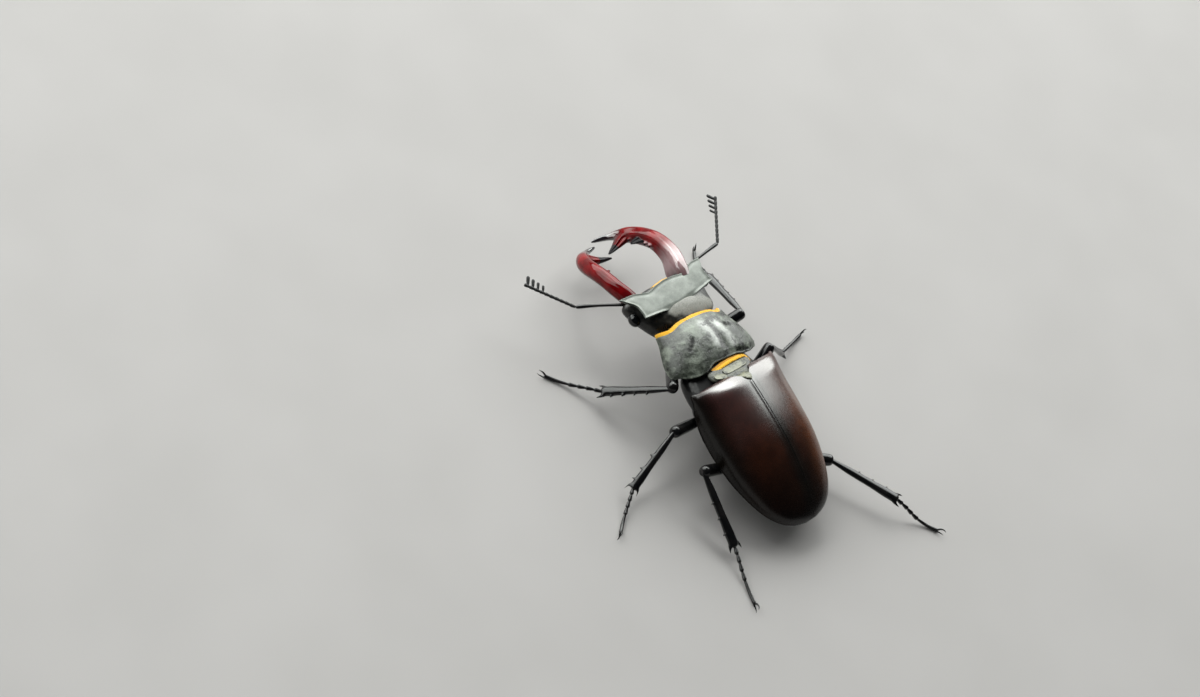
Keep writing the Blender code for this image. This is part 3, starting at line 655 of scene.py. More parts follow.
    def raise_by(self, source, millimetres, strength=1.0):
        """Add relief of a height in millimetres to the surface."""
        inputs = [("Height", source), ("Distance", millimetres * MM), ("Strength", strength)]
        if self.height is not None:
            inputs.append(("Normal", self.height))
        self.height = self.node("ShaderNodeBump", inputs).outputs["Normal"]
        self.tree.links.new(self.height, self.shader.inputs["Normal"])


def wing_case_finish():
    """Dark chestnut horn, black along the seam and the tip, finely punctured; painted light makes
    the right wing case a lighter, warmer brown and painted shade blackens the left flank.
    """
    made = Finish("wing_case_horn", (0.03, 0.01, 0.006), 0.2, IOR=1.45, Specular_IOR_Level=0.2,
                  Coat_Roughness=0.25, Coat_IOR=1.9)
    place = made.seen_in(TRUNK)
    length, half_width = 30.0, 10.8
    x = made.axis(place, "X")
    out = made.maths("ABSOLUTE", x)
    along_it = made.maths("DIVIDE", made.axis(place, "Y"), length)
    body = made.ramp(along_it, [(0.0, (0.034, 0.0085, 0.008)), (0.28, (0.036, 0.0090, 0.006)),
                                (0.5, (0.027, 0.0075, 0.0035)), (0.75, (0.011, 0.0040, 0.002)),
                                (1.0, (0.004, 0.0025, 0.002))])
    # Lighter, warmer brown for the lit right wing case: painted light
    painted_lit_brown = made.ramp(along_it, [(0.0, (0.045, 0.013, 0.009)), (0.4, (0.096, 0.029, 0.010)),
                                (0.75, (0.085, 0.027, 0.009)), (0.95, (0.012, 0.006, 0.003))])
    right = made.ramp(made.maths("DIVIDE", x, -10.5), [(0.2, 0.0), (0.75, 1.0)])
    body = made.mix(right, body, painted_lit_brown)
    # Blackening of the left flank: painted shade
    left = made.ramp(made.maths("DIVIDE", x, half_width), [(0.62, 0.0), (0.97, 1.0)])
    wide = made.ramp(made.maths("DIVIDE", out, half_width), [(0.60, 0.0), (0.90, 1.0)])
    worn = made.maths("MAXIMUM", wide, made.ramp(along_it, [(0.20, 0.0), (0.55, 1.0)]))
    made.gloss(made.ramp(worn, [(0.0, 1.0), (1.0, 0.12)]))
    seam = made.ramp(made.maths("DIVIDE", out, 10.0), [(0.0, 1.0), (0.06, 0.8), (0.24, 0.0)])
    body = made.mix(made.maths("MAXIMUM", left, seam), body, (0.0055, 0.004, 0.003))
    cloud = made.ramp(made.noise(2.6, detail=6.0, place=place), [(0.3, 0.62), (0.7, 1.0)])
    punctures = made.ramp(made.pits(0.2, place), [(0.10, 0.0), (0.40, 1.0)])
    speck = made.ramp(made.noise(0.16, detail=2.0, place=place), [(0.4, 0.72), (0.62, 1.0)])
    made.colour(made.darken(body, cloud, speck))
    made.roughness(made.ramp(speck, [(0.7, 0.30), (1.0, 0.21)]))
    made.raise_by(made.noise(4.5, detail=2.0, place=place), 0.15, 0.5)
    made.raise_by(punctures, 0.007, 0.6)
    made.raise_by(speck, 0.006, 0.6)
    return made.material


def shield_finish():
    """Satin green-grey horn of the thorax shield: clouds, painted highlights on its ridges, front
    and hind border, and painted shade in its pits and furrow.
    """
    made = Finish("shield_horn", (0.09, 0.10, 0.085), 0.34, IOR=1.5, Specular_IOR_Level=0.5)
    place = made.seen_in(PROTHORAX)
    cloud = made.noise(1.9, detail=8.0, roughness=0.66, place=place)
    body = made.ramp(cloud, [(0.35, (0.006, 0.008, 0.005)), (0.46, (0.050, 0.058, 0.045)),
                             (0.62, (0.150, 0.168, 0.138))])
    ragged = made.ramp(made.noise(0.55, detail=5.0, roughness=0.7, place=place),
                       [(0.38, 0.0), (0.50, 1.0)])
    hollow = 0.0
    # Painted light: pale spots and streaks are painted highlights; dark spots, pits and furrow
    # lines are painted shade
    for centre, radius, tone in SHIELD_PAINTED_LIGHT_MARKS:
        mark = made.spot(place, centre, radius, 1.0 if radius > 1.0 else 0.8)
        if radius < 1.0:
            mark = made.maths("MULTIPLY", mark, ragged)
            hollow = made.maths("MAXIMUM", hollow, mark)
        body = made.mix(mark, body, (tone * 0.92, tone * 1.05, tone * 0.85))
    for start, end, width, tone in SHIELD_PAINTED_LIGHT_STREAKS:
        mark = made.maths("MULTIPLY", made.streak(place, start, end, width), 0.9)
        body = made.mix(mark, body, (tone, tone * 1.03, tone * 0.98))
    mottle = made.ramp(cloud, [(0.34, 0.12), (0.48, 0.7), (0.64, 1.0)])
    speck = made.ramp(made.noise(0.16, detail=3.0, roughness=0.7, place=place),
                      [(0.38, 0.62), (0.58, 1.0)])
    made.colour(made.darken(body, mottle, speck))
    dull = made.maths("MULTIPLY", hollow, 0.55)
    sheen = made.ramp(cloud, [(0.34, 0.24), (0.66, 0.42)])
    made.roughness(made.maths("ADD", sheen, dull))
    made.raise_by(made.noise(2.6, detail=3.0, place=place), 0.22, 0.8)
    made.raise_by(cloud, 0.20, 0.8)
    made.raise_by(made.maths("SUBTRACT", 1.0, hollow), 0.12, 0.8)
    made.raise_by(speck, 0.014, 0.8)
    return made.material


def plateau_finish():
    """Pale grey horn on the head's plateau, finely granular."""
    made = Finish("plateau_horn", (0.17, 0.185, 0.165), 0.42, IOR=1.5, Specular_IOR_Level=0.5)
    place = made.seen_in(SKULL)
    cloud = made.noise(2.4, detail=5.0, place=place)
    body = made.ramp(cloud, [(0.3, (0.125, 0.139, 0.122)), (0.7, (0.22, 0.237, 0.214))])
    grain = made.noise(0.14, detail=4.0, roughness=0.7, place=place)
    speck = made.ramp(grain, [(0.34, 0.72), (0.60, 1.0)])
    made.colour(made.darken(body, speck))
    made.roughness(made.ramp(grain, [(0.3, 0.34), (0.7, 0.5)]))
    made.raise_by(grain, 0.04, 0.8)
    return made.material


def capsule_finish():
    """Black horn of the head, with a pale painted sheen running back over the crown from the
    plateau and painted shade in it under the plateau's rim.
    """
    made = Finish("capsule_horn", (0.007, 0.007, 0.007), 0.34, Specular_IOR_Level=0.55)
    place = made.seen_in(SKULL)
    wave = made.noise(1.2, detail=5.0, roughness=0.65, place=place)
    painted_sheen = 0.0
    # Pale painted sheen over the crown, less a spot of painted shade under the plateau's rim
    for centre, radius in CROWN_PAINTED_SHEEN:
        painted_sheen = made.maths("MAXIMUM", painted_sheen, made.spot(place, centre, radius))
    painted_sheen = made.maths("SUBTRACT", painted_sheen, made.spot(place, *CROWN_SHADE, 0.9))
    ragged = made.maths("ADD", painted_sheen, made.maths("MULTIPLY", wave, 0.8))
    painted_sheen = made.ramp(ragged, [(0.45, 0.0), (1.15, 1.0)])
    grain = made.noise(0.17, detail=3.0, roughness=0.7, place=place)
    black = made.ramp(wave, [(0.4, (0.0035, 0.0033, 0.003)), (0.75, (0.022, 0.019, 0.014))])
    # Colour of the painted sheen
    pale = made.ramp(grain, [(0.34, (0.18, 0.18, 0.165)), (0.6, (0.27, 0.265, 0.24))])
    made.colour(made.mix(painted_sheen, black, pale))
    made.roughness(made.ramp(wave, [(0.3, 0.24), (0.7, 0.42)]))
    made.raise_by(wave, 0.12, 0.6)
    made.raise_by(grain, 0.035, 0.7)
    return made.material


def black_finish(name="black_horn", roughness=0.16, grain_height=0.01):
    """Black horn with a cold gloss and a very fine grain."""
    made = Finish(name, (0.004, 0.0045, 0.0055), roughness, IOR=1.45, Specular_IOR_Level=0.4,
                  Coat_Weight=0.2, Coat_Roughness=0.05)
    place = made.seen_in(STAND)
    grain = made.noise(0.25, detail=4.0, place=place)
    made.colour(made.ramp(made.noise(2.0, place=place), [(0.35, (0.002, 0.0022, 0.0026)),
                                                         (0.75, (0.008, 0.007, 0.007))]))
    made.roughness(made.ramp(grain, [(0.3, roughness * 0.8), (0.75, roughness * 1.5)]))
    made.raise_by(grain, grain_height, 0.6)
    return made.material


def jaw_finish():
    """Deep red horn, black on the teeth and the tips, with a pale rose painted reflection on the
    root and upper face of the right jaw.
    """
    made = Finish("jaw_horn", (0.15, 0.005, 0.008), 0.14, IOR=1.4, Specular_IOR_Level=0.16,
                  Coat_Roughness=0.05, Coat_IOR=1.9)
    reach, inner = made.written("reach"), made.written("inner")
    place = made.seen_in(SKULL)
    cloud = made.noise(2.2, detail=3.0, place=place)
    red = made.ramp(cloud, [(0.3, (0.075, 0.0008, 0.0014)), (0.7, (0.16, 0.0020, 0.0032))])
    tip = made.ramp(reach, [(0.0, 0.6), (0.13, 0.0), (0.70, 0.0), (0.80, 0.75), (0.9, 1.0)])
    dark = made.maths("MAXIMUM", tip, made.ramp(inner, [(0.80, 0.0), (0.96, 1.0)]))
    right = made.ramp(made.maths("DIVIDE", made.axis(place, "X"), -4.0), [(0.0, 0.0), (0.5, 1.0)])
    # Right jaw's root and upper face, where a pale reflection is painted into the colour
    root = made.maths("MULTIPLY", made.ramp(reach, [(0.0, 1.0), (0.16, 1.0), (0.36, 0.0)]),
                      made.ramp(inner, [(0.72, 1.0), (0.9, 0.0)]))
    arch = made.maths("MULTIPLY", made.ramp(reach, [(0.34, 0.0), (0.42, 1.0), (0.56, 1.0),
                                                    (0.66, 0.0)]),
                      made.ramp(inner, [(0.0, 0.0), (0.10, 0.9), (0.62, 1.0), (0.8, 0.0)]))
    painted_sheen = made.maths("MULTIPLY", right, made.maths("MAXIMUM", root, arch))
    # Pale rose colour of the painted reflection
    pale = made.ramp(cloud, [(0.3, (0.20, 0.105, 0.11)), (0.7, (0.27, 0.17, 0.18))])
    red = made.mix(painted_sheen, red, pale)
    made.colour(made.mix(dark, red, (0.008, 0.006, 0.008)))
    tip_gloss = made.ramp(reach, [(0.0, 0.14), (0.72, 0.14), (0.82, 1.0)])
    root_gloss = made.ramp(reach, [(0.0, 0.8), (0.22, 0.8), (0.33, 0.15), (0.55, 0.0)])
    made.gloss(made.maths("MAXIMUM", tip_gloss, made.maths("MULTIPLY", right, root_gloss)))
    fine = made.noise(0.2, detail=3.0, place=place)
    made.roughness(made.ramp(fine, [(0.3, 0.10), (0.75, 0.18)]))
    made.raise_by(made.noise(1.6, detail=2.0, place=place), 0.08, 0.5)
    made.raise_by(fine, 0.008, 0.5)
    return made.material


def panel_finish(name, pale, dark):
    """Smooth cream-grey horn with cloudy thin places."""
    made = Finish(name, pale, 0.34, IOR=1.45, Specular_IOR_Level=0.4)
    place = made.seen_in(TRUNK)
    cloud = made.noise(0.9, detail=4.0, place=place)
    made.colour(made.ramp(cloud, [(0.34, dark), (0.6, pale)]))
    made.roughness(made.ramp(cloud, [(0.3, 0.22), (0.7, 0.42)]))
    made.raise_by(cloud, 0.14, 0.8)
    return made.material


def hair_finish(name, root, tip):
    """Hair that is darker at its root, by the height written in its map."""
    made = Finish(name, tip, 0.45, Specular_IOR_Level=0.4, Sheen_Weight=0.25)
    made.colour(made.ramp(made.written("reach"), [(0.0, root), (0.45, tip)]))
    return made.material


def floor_finish():
    """Plain pale studio floor."""
    made = Finish("studio_floor", (0.315, 0.30, 0.30), 0.8, Specular_IOR_Level=0.2)
    made.colour(made.ramp(made.noise(30.0, detail=2.0), [(0.2, (0.305, 0.292, 0.29)),
                                                         (0.8, (0.325, 0.311, 0.31))]))
    return made.material


HORN = wing_case_finish()
SHIELD = shield_finish()
PLATEAU = plateau_finish()
CAPSULE_HORN = capsule_finish()
BLACK = black_finish()
SATIN_BLACK = black_finish("satin_black_horn", 0.36, 0.03)
EYE_BLACK = black_finish("eye_black", 0.07, 0.004)
CLUB = black_finish("club_horn", 0.5, 0.02)
JAW = jaw_finish()
PANEL = panel_finish("panel_horn", (0.17, 0.17, 0.125), (0.04, 0.042, 0.032))
MIDDLE_PLATE = panel_finish("middle_plate_horn", (0.06, 0.062, 0.05), (0.006, 0.006, 0.005))
GOLD_HAIR = hair_finish("golden_hair", (0.42, 0.17, 0.006), (0.84, 0.47, 0.02))


# ---- Wing cases, shields and trunk ----
WING_MARGIN_BEAD = ((0.0, 1.006), (0.9, 1.012), (1.8, 1.006), (2.6, 0.998), (4.5, 1.0))
WING_SEAM_BEAD = ((84.0, 1.0), (86.4, 0.9975), (87.5, 1.0), (88.7, 1.004), (90.0, 1.001))
SHIELD_EDGE_BEAD = ((0.0, 1.002), (1.0, 1.006), (2.2, 1.003), (3.6, 0.998), (7.0, 1.0))
SHIELD_HIND_BEAD = ((0.93, 0.0), (0.955, -0.06), (0.975, 0.03), (0.99, 0.06), (1.0, -0.01))


def rounded_square(turn, fullness=2.7):
    """Reach of a rounded square at an angle, squarer at its corners with more fullness."""
    across, rise = abs(math.cos(math.radians(turn))), abs(math.sin(math.radians(turn)))
    return (across ** fullness + rise ** fullness) ** (-1.0 / fullness)


def dome_reach(turn):
    """Reach of the dome of the wing cases and the head at an angle."""
    return rounded_square(turn, DOME_FULLNESS)


def wing_case_reach(turn):
    """Dome with a raised bead along the outer margin and another along the seam."""
    return dome_reach(turn) * value_at(WING_MARGIN_BEAD, turn) * value_at(WING_SEAM_BEAD, turn)


def shield_reach(turn):
    """Flatter arch of the thorax shield, with a bead along both side margins."""
    across, rise = abs(math.cos(math.radians(turn))), abs(math.sin(math.radians(turn)))
    low, high = 0.8, 1.4
    for _ in range(30):
        reach = (low + high) / 2.0
        if (reach * across) ** 2.4 + (reach * rise) ** 1.9 < 1.0:
            low = reach
        else:
            high = reach
    return low * value_at(SHIELD_EDGE_BEAD, min(turn, 180.0 - turn))


def wing_case(side):
    """Domed wing case with beaded margins, cut back round the scutellum."""
    rows = []
    for i in range(WING_CASE_ROWS):
        y = (WING_CASE_LENGTH + 0.12) * eased(i, WING_CASE_ROWS)
        margin = value_at(WING_CASE_MARGIN, y)
        rows.append((y, value_at(WING_CASE_HALF_WIDTH, y), value_at(WING_CASE_TOP, y), margin,
                     margin - 1.0))
    piece = grow("wing_case_" + side, rows, sides=120, outline=wing_case_reach, arc=(0, 90),
                 finer=((0, 3), (84, 90)))
    edit()
    for place, normal in (((SEAM_GAP, 0, 0), (-1, 0, 0)), ((3.75, -0.6, 0), (-0.58, -0.81, 0))):
        pick_all()
        bpy.ops.mesh.bisect(plane_co=place, plane_no=normal, clear_outer=True)
    corner = Vector((10.1, 0.0, 3.6))
    pull(lambda spot: (spot - corner).length < 0.25, (0.25, -0.3, 0.1), 0.9)
    done()
    solid_wall(piece, WING_CASE_WALL, EDGE_ROUNDING)
    settle(piece, TRUNK, HORN, ["elytron_" + side], angle=35, side=side)


def thorax_shield():
    """Broad arched shield with a waved front margin and a raised hind border."""
    length = SHIELD_REAR - SHIELD_FRONT
    rows = []
    for share in SHIELD_LENGTH_SHARES:
        margin = value_at(SHIELD_MARGIN, share)
        top = value_at(SHIELD_TOP, share) + value_at(SHIELD_HIND_BEAD, share)
        rows.append((SHIELD_FRONT + share * length, value_at(SHIELD_HALF_WIDTH, share), top,
                     margin, margin - 1.0))
    piece = grow("thorax_shield", rows, sides=96, outline=shield_reach, arc=(0, 180),
                 finer=((0, 3.75), (176.25, 180)))
    edit()
    front, rear = SHIELD_FRONT + 0.01, SHIELD_REAR - 0.01
    pull(lambda spot: spot.y < front and abs(spot.x) < 2.0, (0, -0.4, 0), 4.0)
    for way in (-1.0, 1.0):
        pull(lambda spot: spot.y < front and 5.3 < way * spot.x < 6.4, (0, 0.4, 0), 2.2)
        pull(lambda spot: spot.y > rear and 4.6 < way * spot.x < 6.4, (0, 0.45, 0), 2.4)
        pull(lambda spot: spot.y > rear and way * spot.x > 9.3, (0, -0.6, 0), 1.8)
    pull(lambda spot: spot.y > rear and 4.0 < spot.x < 7.6, (0, 0.55, 0), 2.2)
    for x, rear_end, front_end, rise, size in SHIELD_FOLDS:
        pull(lambda spot: abs(spot.x - x) < 0.3 and front_end < spot.y < rear_end,
             (0, 0, rise), size)
    for pit in SHIELD_PITS:
        pull(lambda spot: (spot - Vector(pit)).length < 0.5, (0, 0, -0.12), 0.9)
    done()
    solid_wall(piece, SHIELD_WALL, EDGE_ROUNDING)
    settle(piece, PROTHORAX, SHIELD, ["pronotum"], angle=35)


def breast(name, node):
    """Underside plate: the solid's own shape with its edges rounded and its facets eased."""
    bpy.ops.object.select_all(action="DESELECT")
    piece = copy_of(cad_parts[node], name)
    piece.parent = None
    for key in list(piece.keys()):
        del piece[key]
    work_on(piece)
    edit()
    pick_all()
    bpy.ops.mesh.remove_doubles(threshold=1e-6)
    bpy.ops.object.mode_set(mode="OBJECT")
    apply_modifier(piece, "REMESH", mode="VOXEL", voxel_size=BREAST_GRAIN * MM)
    apply_modifier(piece, "SMOOTH", factor=0.6, iterations=10)
    settle(piece, Matrix.Identity(4), SATIN_BLACK, [node])


def waist():
    """Dark joint between the shield and the wing cases."""
    piece = grow("waist_skin", [(-5.0, 6.5, 3.2, 0.0, -3.6), (-3.4, 7.4, 4.0, 0.0, -4.2),
                                (-2.2, 7.8, 4.15, 0.0, -4.4), (-0.8, 8.2, 4.2, 0.2, -4.4),
                                (1.5, 8.6, 4.6, 0.4, -4.3), (3.0, 8.2, 4.4, 0.4, -4.0)], sides=48)
    smooth(piece, 1)
    settle(piece, TRUNK, SATIN_BLACK)


def slope_frame(y):
    """Frame on the sloping plate in front of the scutellum, with +Z out of its surface."""
    ahead = Vector((0, SLOPE[1][0] - SLOPE[0][0], SLOPE[1][1] - SLOPE[0][1])).normalized()
    return along((0, y, value_at(SLOPE, y)), Vector((0, y, value_at(SLOPE, y))) + ahead)


def scutellum_plate():
    """Sloping plate of the middle thorax: side lobes, a rimmed oval and the small scutellum."""
    piece = grow("middle_plate", [
        (-2.6, 4.2, 3.9, 3.4, 2.6), (-2.3, 4.6, 4.3, 3.6, 2.8), (-1.6, 5.0, 4.6, 3.9, 3.2),
        (-0.6, 5.0, 5.05, 4.1, 3.5), (0.3, 4.2, 5.5, 4.5, 3.8), (1.0, 2.6, 6.1, 5.2, 4.5),
        (1.6, 1.5, 6.9, 6.1, 5.4), (2.2, 0.7, 7.3, 6.7, 6.2)], sides=40, outline=rounded_square)
    smooth(piece, 2)
    settle(piece, TRUNK, MIDDLE_PLATE, ["scutellum"])

    parts = []
    for centre, size, turn in (((-0.6, -1.3), (2.9, 0.8), 0.0), ((0.6, 0.35), (2.3, 0.62), 6.0),
                               ((3.5, -0.9), (1.2, 0.6), -22.0)):
        panel = new_piece("panel", "circle", vertices=40, radius=1.0, fill_type="NGON")
        for vert in panel.data.vertices:
            turned = math.atan2(vert.co.y, vert.co.x)
            vert.co *= rounded_square(math.degrees(turned), 3.6)
        edit()
        pick_all()
        resize((size[0], size[1], 1.0))
        bpy.ops.mesh.select_mode(type="FACE")
        extrude((0, 0, 0.28))
        for thickness, depth in ((0.05, 0.03), (0.04, 0.0), (0.06, -0.04), (0.2, -0.02)):
            bpy.ops.mesh.inset(thickness=thickness, depth=depth)
        done()
        smooth(panel, 2)
        place = slope_frame(centre[1] + 0.35) @ Matrix.Translation((centre[0], 0, -0.22))
        move_to(panel, place @ Matrix.Rotation(math.radians(turn), 4, "Z"))
        parts.append(panel)
    settle(join("middle_panels", parts), TRUNK, PANEL)

    tip = grow("scutellum_tip", [
        (0.75, 1.1, 6.2, 5.8, 5.3), (0.95, 1.2, 6.6, 6.0, 5.5), (1.3, 1.15, 7.05, 6.5, 6.0),
        (1.7, 0.95, 7.5, 7.1, 6.6), (2.2, 0.6, 7.85, 7.5, 7.1), (2.6, 0.25, 7.9, 7.65, 7.4),
        (2.75, 0.1, 7.88, 7.75, 7.6)], sides=24, outline=rounded_square)
    edit()
    bpy.ops.mesh.select_mode(type="FACE")
    pick_faces(lambda spot, normal: normal.z > 0.75 and 0.8 < spot.y < 2.2 and abs(spot.x) < 0.75)
    bpy.ops.mesh.inset(thickness=0.1, depth=-0.1)
    done()
    smooth(tip, 2)
    settle(tip, TRUNK, PANEL)


# ---- Head ----
def plateau_place(u, v):
    """Place on the head's flat plateau; u runs over its width and v from rear to front."""
    half_width = value_at(PLATEAU_HALF_WIDTH, v)
    half_width += value_at(LEFT_CORNER, v) * max(0.0, u)
    x = u * half_width
    out = abs(x)
    rear, front = value_at(PLATEAU_REAR, out), value_at(PLATEAU_FRONT, out)
    front -= value_at(((6.4, 0.0), (9.5, 0.4)), x)
    y = rear + (front - rear) * v
    z = value_at(PLATEAU_CROWN, v) - 0.12 * u * u
    to_side = (1.0 - abs(u)) * half_width
    to_front = abs(y - front)
    to_rear = abs(y - rear)
    rim = ((0.0, 0.05), (0.07, 0.17), (0.16, 0.13), (0.3, 0.0), (0.5, -0.05), (0.9, 0.0))
    rear_share = value_at(((3.0, 0.0), (4.4, 1.0)), out)
    z += max(value_at(rim, to_side), value_at(rim, to_front),
             value_at(rim, to_rear) * rear_share, key=abs)
    z -= (1.0 - rear_share) * value_at(((0.0, 0.3), (0.9, 0.0)), to_rear)
    return Vector((x, y, z))


def finer_ends(share, steps):
    """Spread grid lines so that the last few lie close together at both ends."""
    close = (0.0, 0.006, 0.014, 0.024, 0.04)
    index = round(share * steps)
    last = len(close) - 1
    if index <= last:
        return close[index]
    if index >= steps - last:
        return 1.0 - close[steps - index]
    return close[last] + (1.0 - 2.0 * close[last]) * (index - last) / (steps - 2 * last)


def plateau():
    """Flat, rimmed top of the head, laid over the capsule as a thin plate."""
    across, deep = 64, 36
    piece = new_piece("head_plateau", "grid", x_subdivisions=across, y_subdivisions=deep, size=2.0)
    for vert in piece.data.vertices:
        u = 2.0 * finer_ends((vert.co.x + 1.0) / 2.0, across) - 1.0
        v = finer_ends((vert.co.y + 1.0) / 2.0, deep)
        vert.co = plateau_place(u, v)
    edit()
    done()
    if sum(face.normal.z for face in piece.data.polygons) < 0.0:
        piece.data.flip_normals()
    solid_wall(piece, PLATEAU_WALL, PLATEAU_ROUNDING)
    settle(piece, SKULL, PLATEAU, angle=35)


def head_capsule():
    """Black cheeks, throat and neck under the plateau."""
    piece = grow("head_capsule", CAPSULE, sides=48, outline=dome_reach)
    smooth(piece, 1)
    settle(piece, SKULL, CAPSULE_HORN, ["head"])


def eye(side):
    """Glossy bead of an eye, half sunk in the cheek."""
    piece = new_piece("eye_bead_" + side, "uv_sphere", segments=48, ring_count=32, radius=1.0)
    edit()
    pick_all()
    resize(EYE_RADII)
    bpy.ops.transform.translate(value=EYE_PLACE)
    done()
    settle(piece, SKULL, EYE_BLACK, ["eye_" + side], angle=60, side=side)


def write_reach(piece, length):
    """Write each vertex's share of the way along a straight piece, and how far in it lies."""
    reach = piece.data.attributes.new("reach", "FLOAT", "POINT")
    inner = piece.data.attributes.new("inner", "FLOAT", "POINT")
    for vert, along_it, inward in zip(piece.data.vertices, reach.data, inner.data):
        along_it.value = vert.co.y / length
        flat = math.hypot(vert.co.x, vert.co.z)
        inward.value = max(0.0, -vert.co.x / flat) if flat > TINY else 0.0


def jaw(side):
    """Antler-like jaw with its median tooth, small teeth and forked tip."""
    line = JAW_LINE[side]
    knots = [Vector(p) for p in line]
    length = sum((b - a).length for a, b in zip(knots, knots[1:]))
    widths, heights = column(JAW_GIRTH[side], 1), column(JAW_GIRTH[side], 2)
    shares = [eased(i, JAW_ROWS) for i in range(JAW_ROWS)]
    girths = [(share, value_at(widths, share), value_at(heights, share)) for share in shares]
    piece = grow_limb("jaw_" + side, girths, length, sides=24,
                      outline=lambda turn: rounded_square(turn, JAW_FULLNESS[side]))
    write_reach(piece, length)
    bend(piece, line)
    edit()
    bpy.ops.mesh.select_mode(type="FACE")
    shift = Vector(TEETH_SHIFT[side])
    root, middle, tip = [Vector(place) + shift for place in MEDIAN_TOOTH]
    draw_out(root, 0.85, [(root, 0.95), (middle, 0.66), (tip, 0.35)], dark=True)
    root, middle, tip = [Vector(place) + shift for place in INNER_PRONG[side]]
    shelf = root.lerp(middle, 0.45)
    draw_out(root, 1.15, [(shelf, 0.82)])
    draw_out(shelf, 1.0, [(middle, 0.62), (middle.lerp(tip, 0.6), 0.66), (tip, 0.4)], dark=True)
    for tip, reach in zip(DENTICLES, (0.68, 0.62, 0.5)):
        place = Vector(tip) + shift
        draw_out(place, reach, [(place - Vector((0.5, 0, 0)), 0.45)], dark=True)
    done()
    smooth(piece, 2)
    hinge = Vector(JAW_HINGE[side])
    swing = SKULL @ Matrix.Translation(hinge) @ Matrix.Rotation(
        math.radians(JAW_TURN), 4, "Z") @ Matrix.Translation(-hinge)
    settle(piece, swing, JAW, ["mandible_" + side], side=side)


def labrum_plate():
    """Small lip under the front edge between the jaws."""
    piece = grow("labrum_plate", [(-20.2, 2.2, -0.9, -1.3, -1.8), (-20.9, 2.4, -1.0, -1.5, -2.1),
                                  (-21.3, 2.2, -1.2, -1.7, -2.3), (-21.6, 1.6, -1.5, -2.0, -2.5),
                                  (-21.75, 0.8, -1.9, -2.2, -2.5)], sides=20)
    smooth(piece, 2)
    settle(piece, SKULL, SATIN_BLACK, ["labrum"])


def palp(side):
    """Jointed feeler under the mouth."""
    route = ((2.3, -21.65, -3.5), (2.6, -21.95, -4.2), (2.8, -21.95, -5.1), (2.7, -21.5, -5.9))
    parts = []
    for start, end in ((0.0, 0.31), (0.33, 0.62), (0.64, 1.0)):
        first, last = smooth_path(route, start), smooth_path(route, end)
        length = (last - first).length
        part = grow_limb("palp_joint", ((0.0, 0.15, 0.15), (0.1, 0.27, 0.27), (0.6, 0.36, 0.36),
                                        (0.92, 0.4, 0.4), (1.0, 0.2, 0.2)), length, sides=10)
        smooth(part, 1)
        move_to(part, along(first, last))
        parts.append(part)
    piece = join("palp_feeler_" + side, parts)
    settle(piece, SKULL, BLACK, ["palp_" + side], side=side)


def antenna(side):
    """Elbowed antenna: a long shaft, then small joints and a comb of four plates."""
    base = Vector(SCAPE_BASE[side])
    elbow = base + Vector(SCAPE_RUN[side])
    inside = base - (elbow - base).normalized() * 1.7
    shaft = grow_limb("antenna_shaft_" + side, (
        (0.0, 0.15, 0.15), (0.03, 0.34, 0.34), (0.09, 0.3, 0.3), (0.14, 0.27, 0.27),
        (0.4, 0.27, 0.27, 0, 0.2), (0.7, 0.3, 0.3, 0, 0.24), (0.9, 0.4, 0.4, 0, 0.08),
        (0.97, 0.36, 0.36), (1.0, 0.2, 0.2)), (elbow - inside).length, sides=14)
    smooth(shaft, 1)
    half = SKULL if side == "left" else SKULL @ Matrix.Scale(-1.0, 4, (1, 0, 0))
    settle_turned(shaft, half @ along(inside, elbow), BLACK,
                  ["antenna_scape_" + side])

    tip = elbow + Vector(FLAGELLUM_RUN[side])
    bead = grow_limb("bead", ((0.0, 0.17, 0.17), (0.08, 0.25, 0.25), (0.45, 0.3, 0.3),
                              (0.82, 0.35, 0.35), (0.95, 0.3, 0.3), (1.0, 0.17, 0.17)),
                     1.12 * (tip - elbow).length / ANTENNA_JOINTS, sides=10)
    paddle = grow_limb("paddle", ((0.0, 0.16, 0.14), (0.15, 0.26, 0.2), (0.5, 0.34, 0.2),
                                  (0.85, 0.36, 0.19), (0.96, 0.26, 0.14), (1.0, 0.12, 0.08)),
                       LAMELLA_LENGTH + 0.3, sides=12)
    inward = Vector((-0.76, -0.64, 0.1)).normalized()
    ahead = (tip - elbow).normalized()
    parts = []
    for i in range(ANTENNA_JOINTS):
        start = elbow.lerp(tip, i / ANTENNA_JOINTS)
        part = copy_of(bead, "bead_%d" % i)
        move_to(part, along(start, tip))
        parts.append(part)
        if i >= FIRST_COMB_JOINT:
            size = 0.75 + 0.09 * (i - FIRST_COMB_JOINT)
            plate = copy_of(paddle, "paddle_%d" % i)
            root = start + ahead * 0.45
            lean = (inward + 0.22 * ahead).normalized()
            move_to(plate, along(root, root + lean, up=lean.cross(ahead)) @ Matrix.Scale(size, 4))
            parts.append(plate)
    remove(bead, paddle)
    club = join("antenna_club_" + side + "_fine", parts)
    smooth(club, 1)
    settle_turned(club, half, CLUB, ["antenna_club_" + side])


def settle_turned(piece, place, material, nodes):
    """Settle a piece whose frame may mirror it, and turn its faces out again."""
    move_to(piece, place)
    edit()
    done()
    settle(piece, Matrix.Identity(4), material, nodes)


# ---- Legs ----
def heading(azimuth, elevation):
    """Direction from an azimuth and an elevation in degrees."""
    turn, rise = math.radians(azimuth), math.radians(elevation)
    flat = math.cos(rise)
    return Vector((flat * math.cos(turn), flat * math.sin(turn), math.sin(rise)))


